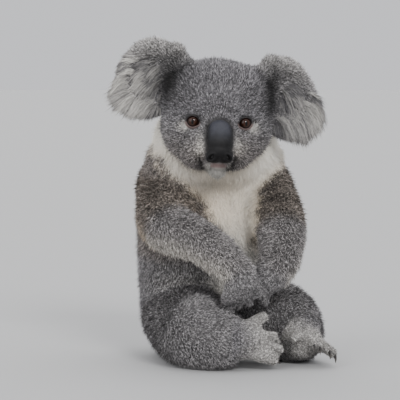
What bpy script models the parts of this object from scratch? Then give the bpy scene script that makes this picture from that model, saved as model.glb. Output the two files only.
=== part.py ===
"""A koala sitting on the floor, life size, as the closed solids that its coat fills.

Metres, +Z up. The origin is the middle of the animal's box at the level of the floor. The head looks
along -Y, and the pelvis, the ribs and the neck turn step by step from +X towards the head. Left and right
are the koala's own: its left side is at +X. The rump, both legs and the left foot rest on small flats.

Each group of flesh (trunk, head, ear, arm, leg) is a union of balls strung along smooth lines, made even
with a voxel remesh and rounded, then parted at its joints with thin cuts. Where two groups meet, one is
carved by the other, so that no two solids overlap.
"""

import math

import bmesh
import bpy
from mathutils import Matrix, Vector

MM = 0.001
CLEARANCE = 0.5 * MM  # between a group and the one that carves it
PARTING_GAP = 0.4 * MM  # between two lengths of one group
SAME_PLANE = math.radians(2.0)  # faces closer to one plane than this are joined
SHARP_EDGE = math.radians(50.0)  # edges steeper than this are shaded as edges
LEFT, RIGHT = 1, -1
SIDE_NAMES = {LEFT: "left", RIGHT: "right"}

# Driving dimensions of the animal, in millimetres.
HEAD_WIDTH = 127.0  # over the cheeks, with the coat
EYE_SPACING = 56.5  # between the eyes' centres
EYE_RADIUS = 8.4
CORNEA_RADIUS = 6.9
CORNEA_RISE = 2.2  # the cornea's centre before the eye's
NOSE_WIDTH = 32.0
NOSE_HEIGHT = 48.0
NOSE_TOP = -2.5  # below the head's centre
NOSTRIL_SIZE = (2.6, 5.0, 3.6)  # half width, depth and height
EAR_HEIGHT = 40.0  # half, with the fringe
EAR_THICKNESS = 9.0  # half, of the plate inside the rim
EAR_RIM = 14.0  # radius of the furred rim
HAND_CLAW, FOOT_CLAW = 15.0, 13.0  # each claw's length along its curve

# The pose: how far each length of the spine turns from -Y towards +X, in degrees.
PELVIS_TURN, RIB_TURN, NECK_TURN = 35.0, 24.0, 12.0
LOIN_TURN = (PELVIS_TURN + RIB_TURN) / 2
HEAD_TURN, HEAD_ROLL, HEAD_NOD = 4.2, 2.2, 2.0


def at(x, y, z):
    """A point, or a set of three sizes, given in millimetres."""
    return Vector((x, y, z)) * MM


def turned(degrees, axis="Z"):
    """A 3 by 3 rotation about one axis."""
    return Matrix.Rotation(math.radians(degrees), 3, axis)


HEAD_CENTRE = at(12, -42, 282)
HEAD_FRAME = Matrix.Translation(HEAD_CENTRE) @ (
    turned(HEAD_TURN) @ turned(HEAD_ROLL, "Y") @ turned(HEAD_NOD, "X")
).to_4x4()


# ---------------------------------------------------------------- forming


def add_ball(shape, centre, radii, turn=None):
    """An ellipsoid; radii is one radius or three, in metres, and turn is its rotation."""
    if not hasattr(radii, "__len__"):
        radii = (radii, radii, radii)
    size = Matrix.Diagonal((*radii, 1.0))
    place = Matrix.Translation(centre) @ (turn or Matrix.Identity(3)).to_4x4() @ size
    bmesh.ops.create_icosphere(shape, subdivisions=3, radius=1.0, matrix=place)


def on_curve(points, span, t):
    """A point of the Catmull-Rom curve through points, at share t of one span."""
    last = len(points) - 1
    before, start = points[max(span - 1, 0)], points[span]
    end, after = points[span + 1], points[min(span + 2, last)]
    return 0.5 * (
        2 * start
        + (end - before) * t
        + (2 * before - 5 * start + 4 * end - after) * t**2
        + (3 * start - before - 3 * end + after) * t**3
    )


def add_limb(shape, stations):
    """Balls along a smooth line through stations, each a point and a radius in metres."""
    points = [Vector(point) for point, _ in stations]
    radii = [radius for _, radius in stations]
    for span in range(len(points) - 1):
        length = (points[span + 1] - points[span]).length
        count = max(2, math.ceil(length / (0.3 * min(radii[span : span + 2]))))
        for step in range(count + 1):
            t = step / count
            radius = radii[span] + (radii[span + 1] - radii[span]) * t * t * (3 - 2 * t)
            add_ball(shape, on_curve(points, span, t), radius)


def object_of(name, mesh):
    """A new object in the scene that shows a mesh, or an empty for no mesh."""
    made = bpy.data.objects.new(name, mesh)
    bpy.context.scene.collection.objects.link(made)
    return made


def settle(body):
    """Applies an object's modifiers to its mesh."""
    bpy.context.view_layer.update()
    graph = bpy.context.evaluated_depsgraph_get()
    mesh = bpy.data.meshes.new_from_object(body.evaluated_get(graph))
    body.modifiers.clear()
    old, body.data = body.data, mesh
    bpy.data.meshes.remove(old)


def formed(name, shape, voxel, rounding, triangles, frame=None):
    """One closed body from overlapping balls: their union, rounded, with about this many triangles."""
    mesh = bpy.data.meshes.new(name)
    shape.to_mesh(mesh)
    shape.free()
    body = object_of(name, mesh)
    remesh = body.modifiers.new("union", "REMESH")
    remesh.mode = "VOXEL"
    remesh.voxel_size = voxel * MM
    smooth = body.modifiers.new("rounding", "SMOOTH")
    smooth.factor = 0.5
    smooth.iterations = rounding
    settle(body)
    thin = body.modifiers.new("fewer_faces", "DECIMATE")
    thin.ratio = min(1.0, triangles / (2.0 * len(body.data.polygons)))
    settle(body)
    if frame is not None:
        body.data.transform(frame)
    return body


# ---------------------------------------------------------------- cutting


def keep_largest(body):
    """Removes every loose piece of a body but the one with the most faces."""
    shape = bmesh.new()
    shape.from_mesh(body.data)
    left = set(shape.verts)
    pieces = []
    while left:
        piece, edge = set(), [left.pop()]
        while edge:
            vertex = edge.pop()
            piece.add(vertex)
            near = {link.other_vert(vertex) for link in vertex.link_edges} & left
            left -= near
            edge.extend(near)
        pieces.append(piece)
    for piece in sorted(pieces, key=len)[:-1]:
        bmesh.ops.delete(shape, geom=list(piece), context="VERTS")
    shape.to_mesh(body.data)
    shape.free()


def join_flat_faces(body):
    """Makes one face of those that lie in one plane, which a cut leaves in many slivers."""
    shape = bmesh.new()
    shape.from_mesh(body.data)
    bmesh.ops.dissolve_limit(shape, angle_limit=SAME_PLANE, verts=list(shape.verts), edges=list(shape.edges))
    bmesh.ops.triangulate(shape, faces=list(shape.faces))
    shape.to_mesh(body.data)
    shape.free()


def swollen(body, clearance):
    """A hidden copy of a body, larger all round by a clearance, to carve others with."""
    cutter = object_of(body.name + "_cutter", body.data.copy())
    normals = [vertex.normal.copy() for vertex in cutter.data.vertices]
    for vertex, normal in zip(cutter.data.vertices, normals):
        vertex.co += normal * clearance
    cutter.hide_render = True
    cutter.display_type = "WIRE"
    return cutter


def carve(body, *others):
    """Takes the room of other bodies, and a little more, out of this one."""
    for other in others:
        cutter = swollen(other, CLEARANCE)
        cut = body.modifiers.new("carve", "BOOLEAN")
        cut.operation = "DIFFERENCE"
        cut.solver = "EXACT"
        cut.object = cutter
        settle(body)
        bpy.data.objects.remove(cutter)
        keep_largest(body)


def cut_away(body, point, normal):
    """Removes what lies beyond a plane, on the side that its normal points to, and closes the cut."""
    shape = bmesh.new()
    shape.from_mesh(body.data)
    everything = list(shape.verts) + list(shape.edges) + list(shape.faces)
    bmesh.ops.bisect_plane(
        shape,
        geom=everything,
        dist=0.02 * MM,
        plane_co=point,
        plane_no=normal,
        clear_outer=True,
    )
    rim = [edge for edge in shape.edges if edge.is_boundary]
    bmesh.ops.holes_fill(shape, edges=rim)
    bmesh.ops.triangulate(shape, faces=[face for face in shape.faces if len(face.verts) > 3])
    shape.to_mesh(body.data)
    shape.free()


def flatten_base(body):
    """Gives a body the flat at the floor on which it rests."""
    cut_away(body, Vector((0, 0, 0)), Vector((0, 0, -1)))


def part_at(body, names, planes):
    """Parts a body into named lengths at planes, each a point and a normal that points on along the body."""
    bounds = [None, *planes, None]
    lengths = []
    for name, start, end in zip(names, bounds[:-1], bounds[1:]):
        length = object_of(name, body.data.copy())
        for plane, sense in ((start, -1), (end, 1)):
            if plane is not None:
                point, normal = plane
                normal = normal.normalized() * sense
                cut_away(length, point - normal * PARTING_GAP / 2, normal)
        keep_largest(length)
        lengths.append(length)
    bpy.data.objects.remove(body)
    return lengths


def joint_plane(before, joint, after):
    """The plane that halves the angle between two bones at their joint."""
    return joint, (joint - before).normalized() + (after - joint).normalized()


# ---------------------------------------------------------------- trunk and head


# The masses of the trunk from the seat up: centre, half sizes and turn.
TRUNK_MASSES = (
    (at(-10, 40, 58), at(67, 68, 66), PELVIS_TURN),
    (at(-8, 32, 90), at(72, 68, 64), PELVIS_TURN),
    (at(-5, 26, 122), at(78, 64, 60), LOIN_TURN),
    (at(0, 26, 157), at(84, 61, 54), RIB_TURN),
    (at(4, 26, 196), at(88, 54, 46), RIB_TURN),
    (at(11, 20, 228), at(84, 50, 40), NECK_TURN),
    (at(11, -6, 238), at(72, 52, 44), NECK_TURN),
    (at(11, 8, 262), at(72, 44, 36), NECK_TURN),
)
# Where the trunk parts into rump, belly, chest and neck: a point and a normal.
TRUNK_CUTS = (
    (at(-12, 35, 78), at(0, -0.35, 1)),
    (at(-4, 22, 128), at(0, -0.1, 1)),
    (at(11, 18, 208), at(0, -0.35, 1)),
)


def make_trunk():
    """The pear-shaped trunk, whole, from the rump to the thick neck."""
    shape = bmesh.new()
    for centre, radii, turn in TRUNK_MASSES:
        add_ball(shape, centre, radii, turned(turn))
    trunk = formed("trunk", shape, voxel=4.0, rounding=40, triangles=900)
    flatten_base(trunk)
    return trunk


def make_nose():
    """The bare leathery nose, a tall rounded shield with a nostril in each lower corner."""
    low = NOSE_TOP - NOSE_HEIGHT
    shape = bmesh.new()
    add_limb(
        shape,
        [
            (at(0, -59, NOSE_TOP - 13), 13 * MM),
            (at(0, -65, NOSE_TOP - 24), NOSE_WIDTH / 2 * MM),
            (at(0, -69, low + 14), 12.8 * MM),
        ],
    )
    for side in (LEFT, RIGHT):
        add_ball(shape, at(side * 7, -69, low + 9), at(7.6, 9, 8))
    nose = formed("nose", shape, voxel=1.3, rounding=4, triangles=300, frame=HEAD_FRAME)
    for side in (LEFT, RIGHT):
        shape = bmesh.new()
        add_ball(shape, at(side * 9.5, -79.5, low + 9), at(*NOSTRIL_SIZE), turned(side * 35))
        nostril = formed("nostril", shape, voxel=0.6, rounding=1, triangles=70, frame=HEAD_FRAME)
        carve(nose, nostril)
        bpy.data.objects.remove(nostril)
    return nose


def make_eye(side):
    """One eyeball, with the clear front standing a little proud."""
    centre = at(side * EYE_SPACING / 2, -42.5, -6)
    outward = turned(side * 22) @ Vector((0, -1, 0.08))
    shape = bmesh.new()
    add_ball(shape, centre, EYE_RADIUS * MM)
    add_ball(shape, centre + outward * CORNEA_RISE * MM, CORNEA_RADIUS * MM)
    name = "eye_" + SIDE_NAMES[side]
    return formed(name, shape, voxel=1.0, rounding=3, triangles=110, frame=HEAD_FRAME)


def make_lower_jaw():
    """The chin and lower jaw, which show as the pale lip under the nose."""
    shape = bmesh.new()
    add_limb(shape, [(at(0, -26, -46), 18 * MM), (at(0, -48, -50), 14 * MM), (at(0, -56, -51), 11 * MM)])
    return formed("lower_jaw", shape, voxel=1.8, rounding=4, triangles=130, frame=HEAD_FRAME)


# The masses of the head in its own frame: centre and half sizes. One that stands aside is made on both sides.
HEAD_MASSES = (
    ("braincase", (0, 12, 14), (58, 57, 49)),
    ("brow", (0, -34, 6), (36, 26, 30)),
    ("nose_bridge", (0, -37, -10), (24, 26, 26)),
    ("muzzle", (0, -41, -31), (26, 26, 22)),
    ("upper_lip", (0, -47, -44), (16, 17, 11)),
    ("temple", (29, -2, 11), (34, 45, 47)),
    ("cheek", (HEAD_WIDTH / 2 - 30, -13, -14), (30, 38, 36)),
    ("jaw_corner", (19, -20, -38), (25, 35, 24)),
    ("lip_pad", (14, -42, -36), (16, 20, 15)),
)


def make_head():
    """The broad head with its cheeks, brow and short muzzle."""
    shape = bmesh.new()
    for _, (aside, forward, up), radii in HEAD_MASSES:
        for side in (LEFT, RIGHT) if aside else (LEFT,):
            add_ball(shape, at(side * aside, forward, up), at(*radii))
    return formed("head", shape, voxel=2.8, rounding=8, triangles=780, frame=HEAD_FRAME)


# Each ear: its centre in the head's frame, its tilt in degrees and its half width in millimetres.
EARS = {RIGHT: (at(-72, 2, 40), 4, 45), LEFT: (at(78, 2, 26), 14, 46)}
# The locks of the fringe below an ear: x, z and radius.
EAR_FRINGE = ((2, -34, 13), (16, -32, 15), (28, -22, 16), (33, -8, 15))


def make_ear(side, centre, tilt, half_width):
    """One round ear with its thick furred rim, a hollow front and a fringe that hangs below."""
    shape = bmesh.new()
    add_ball(shape, at(0, 4, 0), at(half_width - 4, EAR_THICKNESS, EAR_HEIGHT))
    add_ball(shape, at(12 - half_width, 4, -4), at(22, 15, 26))
    start, stop, count = math.radians(-110), math.radians(137), 20
    for step in range(count):
        angle = start + (stop - start) * step / (count - 1)
        across, up = half_width - EAR_RIM, EAR_HEIGHT - 9
        rim = at(across * math.cos(angle), 0, up * math.sin(angle))
        add_ball(shape, rim, at(EAR_RIM, EAR_RIM - 2, EAR_RIM))
    for x, z, radius in EAR_FRINGE:
        add_ball(shape, at(x, -3, z), radius * MM)
    stand = Matrix.Translation(centre) @ (turned(side * 24) @ turned(side * tilt, "Y")).to_4x4()
    mirror = Matrix.Diagonal((side, 1, 1, 1))
    name = "ear_" + SIDE_NAMES[side]
    ear = formed(name, shape, voxel=2.4, rounding=5, triangles=300, frame=HEAD_FRAME @ stand @ mirror)
    if side == RIGHT:
        ear.data.flip_normals()
    return ear


# ---------------------------------------------------------------- hands and feet


def claw_on(name, root, along, bend, length, radius):
    """One curved claw, tapering to its tip, as a loft of rings along an arc."""
    rings, corners, sweep = 4, 5, math.radians(58)
    side = along.cross(bend).normalized()
    bend = side.cross(along).normalized()
    arc_radius = length / sweep
    shape = bmesh.new()
    before = None
    for step in range(rings):
        angle = sweep * step / rings
        middle = root + arc_radius * (along * math.sin(angle) + bend * (1 - math.cos(angle)))
        outward = bend * math.cos(angle) - along * math.sin(angle)
        size = radius * (1 - step / rings) ** 0.8
        ring = []
        for corner in range(corners):
            around = 2 * math.pi * corner / corners
            spot = middle + size * (0.75 * side * math.cos(around) + outward * math.sin(around))
            ring.append(shape.verts.new(spot))
        if before:
            for corner in range(corners):
                following = (corner + 1) % corners
                shape.faces.new((before[corner], before[following], ring[following], ring[corner]))
        else:
            shape.faces.new(ring[::-1])
        before = ring
    tip = shape.verts.new(root + arc_radius * (along * math.sin(sweep) + bend * (1 - math.cos(sweep))))
    for corner in range(corners):
        shape.faces.new((before[corner], before[(corner + 1) % corners], tip))
    bmesh.ops.recalc_face_normals(shape, faces=list(shape.faces))
    mesh = bpy.data.meshes.new(name)
    shape.to_mesh(mesh)
    shape.free()
    return object_of(name, mesh)


def extremity_frame(origin, along, back, mirror):
    """A frame with +Y along the digits, +Z out of the hand's back or foot's top, and +X to the last digit."""
    along = along.normalized()
    across = along.cross(back).normalized()
    back = across.cross(along)
    turn = Matrix((across * mirror, along, back)).transposed()
    return Matrix.Translation(origin) @ turn.to_4x4()


def add_digit(shape, frame, root, spread, length, radius, curl):
    """One finger or toe curving towards the palm. Returns its tip, its direction there and the palm's."""
    heading, sweep = math.radians(spread), math.radians(curl)
    along = Vector((math.sin(heading), math.cos(heading), 0))
    palm = Vector((0, 0, -1))
    joints = 3
    stations = []
    for step in range(joints + 1):
        angle = sweep * step / joints
        reach = length / sweep * math.sin(angle)
        drop = length / sweep * (1 - math.cos(angle))
        point = root + (along * reach + palm * drop) * MM
        stations.append((frame @ point, radius * (1.0 - 0.12 * step / joints) * MM))
    add_limb(shape, stations)
    tip_along = along * math.cos(sweep) + palm * math.sin(sweep)
    tip_bend = palm * math.cos(sweep) - along * math.sin(sweep)
    turn = frame.to_3x3()
    return stations[-1][0], turn @ tip_along, turn @ tip_bend


def add_extremity(shape, name, frame, palm, digits, claw_length):
    """A palm or sole with its digits. Returns the claws, which are solids of their own."""
    x, y, z, across, long, thick = palm
    add_ball(shape, frame @ at(x, y, z), at(across, long, thick), frame.to_3x3())
    claws = []
    for digit_name, root_x, root_y, spread, length, radius, curl, clawed in digits:
        tip, along, bend = add_digit(shape, frame, at(root_x, root_y, -1), spread, length, radius, curl)
        if clawed:
            start = tip + along * (radius * 0.25) * MM
            claw_radius = 0.42 * radius * MM
            claw_name = f"claw_{name}_{digit_name}"
            claws.append(claw_on(claw_name, start, along, bend, claw_length * MM, claw_radius))
    return claws


# Each digit: name, root x and y, spread in degrees, length, radius, curl in degrees, and if it has a claw.
# The two inner fingers of a koala's hand oppose the other three.
HAND_DIGITS = (
    ("first", -10, 4, -38, 24, 6.6, 84, True),
    ("second", -5, 10, -15, 26, 6.6, 92, True),
    ("third", 3, 11, 3, 27, 6.6, 96, True),
    ("fourth", 9, 9, 12, 26, 6.6, 94, True),
    ("fifth", 13, 5, 26, 22, 6.2, 86, True),
)
# The foot's first toe has no claw, and its second and third share one sheath of skin.
FOOT_DIGITS = (
    ("first", -16, 10, -34, 24, 8.0, 26, False),
    ("second", -7, 22, -8, 22, 5.4, 34, True),
    ("third", -2, 23, -3, 23, 5.4, 34, True),
    ("fourth", 7, 22, 3, 27, 7.6, 32, True),
    ("fifth", 15, 17, 12, 26, 7.6, 32, True),
)
# Palm and sole: x, y, z of the middle, then half width, length and thickness.
HAND_PALM = (1, 4, 0, 17, 17, 11)
FOOT_SOLE = (0, 8, 0, 21, 28, 14)
# Radii at the shoulder, the upper arm, the elbow, the forearm, the wrist and the heel of the hand.
ARM_RADII = (38, 35, 29, 24, 18.5, 15)
# Radii at the hip, the thigh, the knee, the calf, the ankle and the heel of the foot.
LEG_RADII = (52, 47, 42, 36, 24, 19)


def make_limb(name, points, radii, extremity, frame, parts, claw_length):
    """One limb, whole, and its claws: a tapering line of flesh that ends in a palm or sole with digits."""
    shape = bmesh.new()
    add_limb(shape, [(point, radius * MM) for point, radius in zip(points, radii)])
    palm, digits = parts
    claws = add_extremity(shape, extremity, frame, palm, digits, claw_length)
    return formed(name, shape, voxel=2.3, rounding=5, triangles=550), claws


def make_arm(side, shoulder, elbow, fore, wrist, fingers, back):
    """One arm and its claws. The joints are points, fingers is the hand's direction, back its back's."""
    fingers = fingers.normalized()
    points = (shoulder, shoulder.lerp(elbow, 0.55), elbow, fore, wrist, wrist + fingers * 12 * MM)
    frame = extremity_frame(wrist + fingers * 10 * MM, fingers, back, -side)
    name = SIDE_NAMES[side]
    parts = (HAND_PALM, HAND_DIGITS)
    return make_limb("arm_" + name, points, ARM_RADII, "hand_" + name, frame, parts, HAND_CLAW)


def make_leg(side, hip, knee, calf, ankle, toes, back):
    """One leg and its claws. The joints are points, toes is the foot's direction, back its top's."""
    toes = toes.normalized()
    points = (hip, hip.lerp(knee, 0.55), knee, calf, ankle, ankle + toes * 14 * MM)
    frame = extremity_frame(ankle + toes * 2 * MM, toes, back, -side)
    name = SIDE_NAMES[side]
    parts = (FOOT_SOLE, FOOT_DIGITS)
    leg, claws = make_limb("leg_" + name, points, LEG_RADII, "foot_" + name, frame, parts, FOOT_CLAW)
    flatten_base(leg)
    return leg, claws


# ---------------------------------------------------------------- the whole animal

# Shoulder, elbow, middle of the forearm, wrist, the fingers' direction, and the way the hand's back faces.
ARM_JOINTS = {
    RIGHT: (
        at(-42, 16, 196),
        at(-44, -62, 158),
        at(0, -94, 140),
        at(37, -106, 110),
        at(0.12, -0.04, -0.99),
        at(0.1, -1, 0.1),
    ),
    LEFT: (
        at(64, 26, 194),
        at(85, -36, 152),
        at(84, -66, 124),
        at(77, -86, 106),
        at(-0.82, 0.28, -0.5),
        at(-0.25, -0.92, 0.3),
    ),
}
# Hip, knee, calf, ankle, the toes' direction, and the way the top of the foot faces.
LEG_JOINTS = {
    RIGHT: (
        at(-22, 14, 49),
        at(-14, -64, 43),
        at(8, -82, 35),
        at(32, -90, 33),
        at(1, -0.1, 0.0),
        at(0, -1, 0.35),
    ),
    LEFT: (
        at(44, 34, 50),
        at(90, 4, 44),
        at(100, -14, 35),
        at(106, -36, 26),
        at(0.55, -0.84, 0.1),
        at(0.4, 0.1, 0.9),
    ),
}
# Each finish: colour, roughness. The coat is grey, paler on the limbs' ends and white on the throat.
FINISHES = {
    "neck": ((0.55, 0.53, 0.49), 0.9),
    "lower_jaw": ((0.50, 0.48, 0.45), 0.9),
    "chest": ((0.38, 0.36, 0.33), 0.9),
    "ear": ((0.36, 0.36, 0.35), 0.9),
    "nose": ((0.030, 0.030, 0.034), 0.45),
    "eye": ((0.035, 0.020, 0.014), 0.08),
    "claw": ((0.040, 0.035, 0.032), 0.4),
    "foot": ((0.24, 0.23, 0.22), 0.9),
}
GREY_COAT = ((0.155, 0.150, 0.150), 0.9)


def give_finish(body):
    """Gives a body a material of its own, after the first word of its name that has a finish."""
    colour, roughness = GREY_COAT
    for word, finish in FINISHES.items():
        if body.name.startswith(word):
            colour, roughness = finish
    material = bpy.data.materials.new(body.name + "_finish")
    material.use_nodes = True
    shader = material.node_tree.nodes["Principled BSDF"]
    shader.inputs["Base Color"].default_value = (*colour, 1.0)
    shader.inputs["Roughness"].default_value = roughness
    shader.inputs["Metallic"].default_value = 0.0
    body.data.materials.clear()
    body.data.materials.append(material)


def box_of(bodies):
    """The lowest and the highest corner of a set of bodies that are neither moved nor turned yet."""
    spots = [vertex.co for body in bodies for vertex in body.data.vertices]
    low = Vector([min(spot[axis] for spot in spots) for axis in range(3)])
    high = Vector([max(spot[axis] for spot in spots) for axis in range(3)])
    return low, high


def place(bodies):
    """Hangs the bodies on an empty that puts the middle of their box over the origin.

    Each object's own origin goes to its body's middle.
    """
    low, high = box_of(bodies)
    koala = object_of("koala", None)
    koala.location = (-(low.x + high.x) / 2, -(low.y + high.y) / 2, 0)
    for body in bodies:
        low, high = box_of([body])
        body.location = (low + high) / 2
        body.data.transform(Matrix.Translation(-body.location))
        body.parent = koala


def main():
    for old in list(bpy.data.objects):
        bpy.data.objects.remove(old)
    trunk = make_trunk()
    head = make_head()
    jaw = make_lower_jaw()
    nose = make_nose()
    eyes = [make_eye(side) for side in (LEFT, RIGHT)]
    ears = [make_ear(side, *EARS[side]) for side in (LEFT, RIGHT)]
    legs = {side: make_leg(side, *LEG_JOINTS[side]) for side in (LEFT, RIGHT)}
    arms = {side: make_arm(side, *ARM_JOINTS[side]) for side in (LEFT, RIGHT)}

    carve(jaw, nose)
    carve(head, jaw, nose, *eyes)
    carve(trunk, head, jaw)
    for ear in ears:
        carve(ear, head, trunk)
    hand_claws = arms[LEFT][1] + arms[RIGHT][1]
    foot_claws = legs[LEFT][1] + legs[RIGHT][1]
    for leg, _ in legs.values():
        carve(leg, trunk, *foot_claws)
    carve(legs[LEFT][0], legs[RIGHT][0])
    for arm, _ in arms.values():
        carve(arm, trunk, head, legs[RIGHT][0], legs[LEFT][0], *hand_claws)
    carve(arms[LEFT][0], arms[RIGHT][0])

    for side in (LEFT, RIGHT):
        name = SIDE_NAMES[side]
        shoulder, elbow, fore, wrist, fingers, _ = ARM_JOINTS[side]
        planes = [joint_plane(shoulder, elbow, fore), joint_plane(fore, wrist, wrist + fingers)]
        part_at(arms[side][0], (f"upper_arm_{name}", f"forearm_{name}", f"hand_{name}"), planes)
        hip, knee, calf, ankle, toes, _ = LEG_JOINTS[side]
        planes = [joint_plane(hip, knee, calf), joint_plane(calf, ankle, ankle + toes)]
        part_at(legs[side][0], (f"thigh_{name}", f"shank_{name}", f"foot_{name}"), planes)
    part_at(trunk, ("rump", "belly", "chest", "neck"), TRUNK_CUTS)

    bodies = list(bpy.data.objects)
    for body in bodies:
        join_flat_faces(body)
        body.data.shade_smooth()
        body.data.set_sharp_from_angle(angle=SHARP_EDGE)
        give_finish(body)
    place(bodies)


main()
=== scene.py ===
"""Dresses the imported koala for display: one skin with lids and lips, a coat of tufts, eyes, nose and claws.

Metres, +Z up; the head looks along -Y and the koala's own left is at +X. Lengths in the tables below are
millimetres. The skin replaces every node of flesh and lies inside them by the coat's depth. The coat is
solid tufts, each a closed spindle that lies along the body in the direction in which the fur grows.
"""

import logging
import math
from collections.abc import Iterator
from contextlib import contextmanager
from dataclasses import dataclass
from enum import Enum

import bpy
import numpy as np
from mathutils import Matrix, Vector
from mathutils.bvhtree import BVHTree
from mathutils.kdtree import KDTree


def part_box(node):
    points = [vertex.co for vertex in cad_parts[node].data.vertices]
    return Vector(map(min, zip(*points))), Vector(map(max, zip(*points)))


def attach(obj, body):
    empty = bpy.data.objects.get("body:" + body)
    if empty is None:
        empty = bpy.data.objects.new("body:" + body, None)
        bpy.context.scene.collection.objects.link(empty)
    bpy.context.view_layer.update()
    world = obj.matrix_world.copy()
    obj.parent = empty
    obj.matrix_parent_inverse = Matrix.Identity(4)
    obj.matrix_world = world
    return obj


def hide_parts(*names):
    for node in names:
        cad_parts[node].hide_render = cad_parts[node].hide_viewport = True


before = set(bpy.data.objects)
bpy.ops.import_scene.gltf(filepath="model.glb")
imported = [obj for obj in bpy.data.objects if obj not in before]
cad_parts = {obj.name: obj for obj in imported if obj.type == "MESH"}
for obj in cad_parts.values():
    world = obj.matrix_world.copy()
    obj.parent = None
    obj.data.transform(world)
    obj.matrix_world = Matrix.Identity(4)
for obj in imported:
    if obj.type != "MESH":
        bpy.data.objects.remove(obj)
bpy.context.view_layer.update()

LOG = logging.getLogger("koala")
MM = 0.001
BODY = "root"
UV_NAME = "OFBake"
MERGE = 0.00001  # how near each other two points of a CAD node are one
PATCH = 0.003  # width of one tuft's patch on the coat's map
FLOOR_GAP = 0.25  # the lowest that a tuft reaches, in millimetres
SMOOTH_SHARE = 0.62  # how far a tuft is shaded as the body under it, not as its own faces
BLADE = ((-0.5, -0.15), (0.5, -0.15), (0.0, 0.36))  # a tuft's corners, across and up, where it is 1 wide
FINGERS = ("first", "second", "third", "fourth", "fifth")
SIDES = (("left", 1), ("right", -1))
HEAD_PARTS = ("head", "lower_jaw", "nose", "eyes")

Array = np.ndarray
Socket = bpy.types.NodeSocket


class Region(Enum):
    """The pieces that the coat is made in, each with the number of tufts that are set on it."""

    FACE = ("coat_face", 45000)
    CROWN = ("coat_crown", 29000)
    EAR_LEFT = ("coat_ear_left", 15000)
    EAR_RIGHT = ("coat_ear_right", 15000)
    THROAT = ("coat_throat", 34000)
    BACK = ("coat_back", 39000)
    SEAT = ("coat_seat", 28000)
    ARM_LEFT = ("coat_arm_left", 32000)
    ARM_RIGHT = ("coat_arm_right", 36000)
    LEG_LEFT = ("coat_leg_left", 31000)
    LEG_RIGHT = ("coat_leg_right", 34000)


# ------------------------ small tools


def smoothstep(low: float, high: float, values: Array) -> Array:
    """Rises smoothly from 0 at low to 1 at high."""
    share = np.clip((values - low) / (high - low), 0.0, 1.0)
    return share * share * (3.0 - 2.0 * share)


def unit(vectors: Array) -> Array:
    """Vectors along the last axis, made one long."""
    return vectors / np.maximum(np.linalg.norm(vectors, axis=-1, keepdims=True), 1e-12)


def spot(points: Array, centre: tuple, radii: tuple) -> Array:
    """A soft blot, 1 at its centre and near 0 past its radii.

    Args:
        points: one row for each point.
        centre: the blot's middle.
        radii: its half sizes along the three axes.

    Returns:
        One value for each point.
    """
    scaled = (points - np.array(centre)) / np.array(radii)
    return np.exp(-1.4 * np.sum(scaled * scaled, axis=1))


def segment_distance(points: Array, ends: Array) -> Array:
    """The distance from each point to a line through several stations.

    Args:
        points: one row for each point.
        ends: the stations, one row each, with as many columns as the points.

    Returns:
        The distance to the nearest stretch of the line.
    """
    nearest = np.full(len(points), np.inf)
    for start, end in zip(ends[:-1], ends[1:]):
        along = end - start
        share = np.clip((points - start) @ along / (along @ along), 0.0, 1.0)
        gap = np.linalg.norm(points - start - share[:, None] * along, axis=1)
        nearest = np.minimum(nearest, gap)
    return nearest


def inside_outline(flat: Array, outline: Array, softness: float) -> Array:
    """How far inside a closed outline each flat point is.

    Args:
        flat: points in the outline's plane.
        outline: its corners in order.
        softness: the width over which the edge fades.

    Returns:
        1 well inside, 0 well outside, one half on the line.
    """
    closed = np.vstack([outline, outline[:1]])
    inside = np.zeros(len(flat), bool)
    for (x0, y0), (x1, y1) in zip(closed[:-1], closed[1:]):
        spans = (y0 > flat[:, 1]) != (y1 > flat[:, 1])
        if y1 != y0:
            cross_x = (x1 - x0) * (flat[:, 1] - y0) / (y1 - y0) + x0
            inside ^= spans & (flat[:, 0] < cross_x)
    gap = segment_distance(flat, closed)
    signed = np.where(inside, gap, -gap)
    return smoothstep(-softness / 2, softness / 2, signed)


def waves(points: Array, size: float, seed: int) -> Array:
    """Smooth noise about 0, made of crossing waves.

    Args:
        points: one row for each point.
        size: the distance over which it changes.
        seed: which noise it is.

    Returns:
        One value for each point, mostly from -1 to 1.
    """
    rng = np.random.default_rng(seed)
    total = np.zeros(len(points))
    count = 9
    for _ in range(count):
        way = unit(rng.normal(size=3)) * rng.uniform(0.7, 1.5) * math.tau / (size * 2.5)
        total += np.sin(points @ way + rng.uniform(0, math.tau))
    return total / math.sqrt(count / 2)


def bell(values: Array, width: float) -> Array:
    """A smooth hump, 1 where the values are 0 and near 0 past twice the width."""
    return np.exp(-((values / width) ** 2))


def near_route(flat: Array, route: tuple, width: float) -> Array:
    """How near flat points are to a line through stations: 1 on it, and falling over a width."""
    return bell(segment_distance(flat, np.array(route)), width)


def rolled(points: Array, angle: Array | float) -> Array:
    """Points turned about the Y axis, from +X towards +Z.

    Args:
        points: one row for each point.
        angle: in radians, for each point or for all.

    Returns:
        The turned points.
    """
    cos, sin = np.cos(angle), np.sin(angle)
    x, y, z = points.T
    return np.column_stack([x * cos - z * sin, y, z * cos + x * sin])


# ------------------------ Blender tools


def select_only(*objects: bpy.types.Object) -> None:
    """Selects these objects alone and makes the first one active.

    Args:
        *objects: what is selected.
    """
    bpy.ops.object.select_all(action="DESELECT")
    for thing in objects:
        thing.select_set(True)
    bpy.context.view_layer.objects.active = objects[0]


@contextmanager
def editing(piece: bpy.types.Object, select: str | None = "SELECT") -> Iterator[None]:
    """Opens a piece's mesh for edit operators and closes it afterwards.

    Args:
        piece: the object to edit.
        select: the action that selects all of it or none first; without one its selection stays.

    Returns:
        A context that closes the mesh again.
    """
    select_only(piece)
    bpy.ops.object.mode_set(mode="EDIT")
    if select:
        bpy.ops.mesh.select_all(action=select)
    yield
    bpy.ops.object.mode_set(mode="OBJECT")


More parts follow.
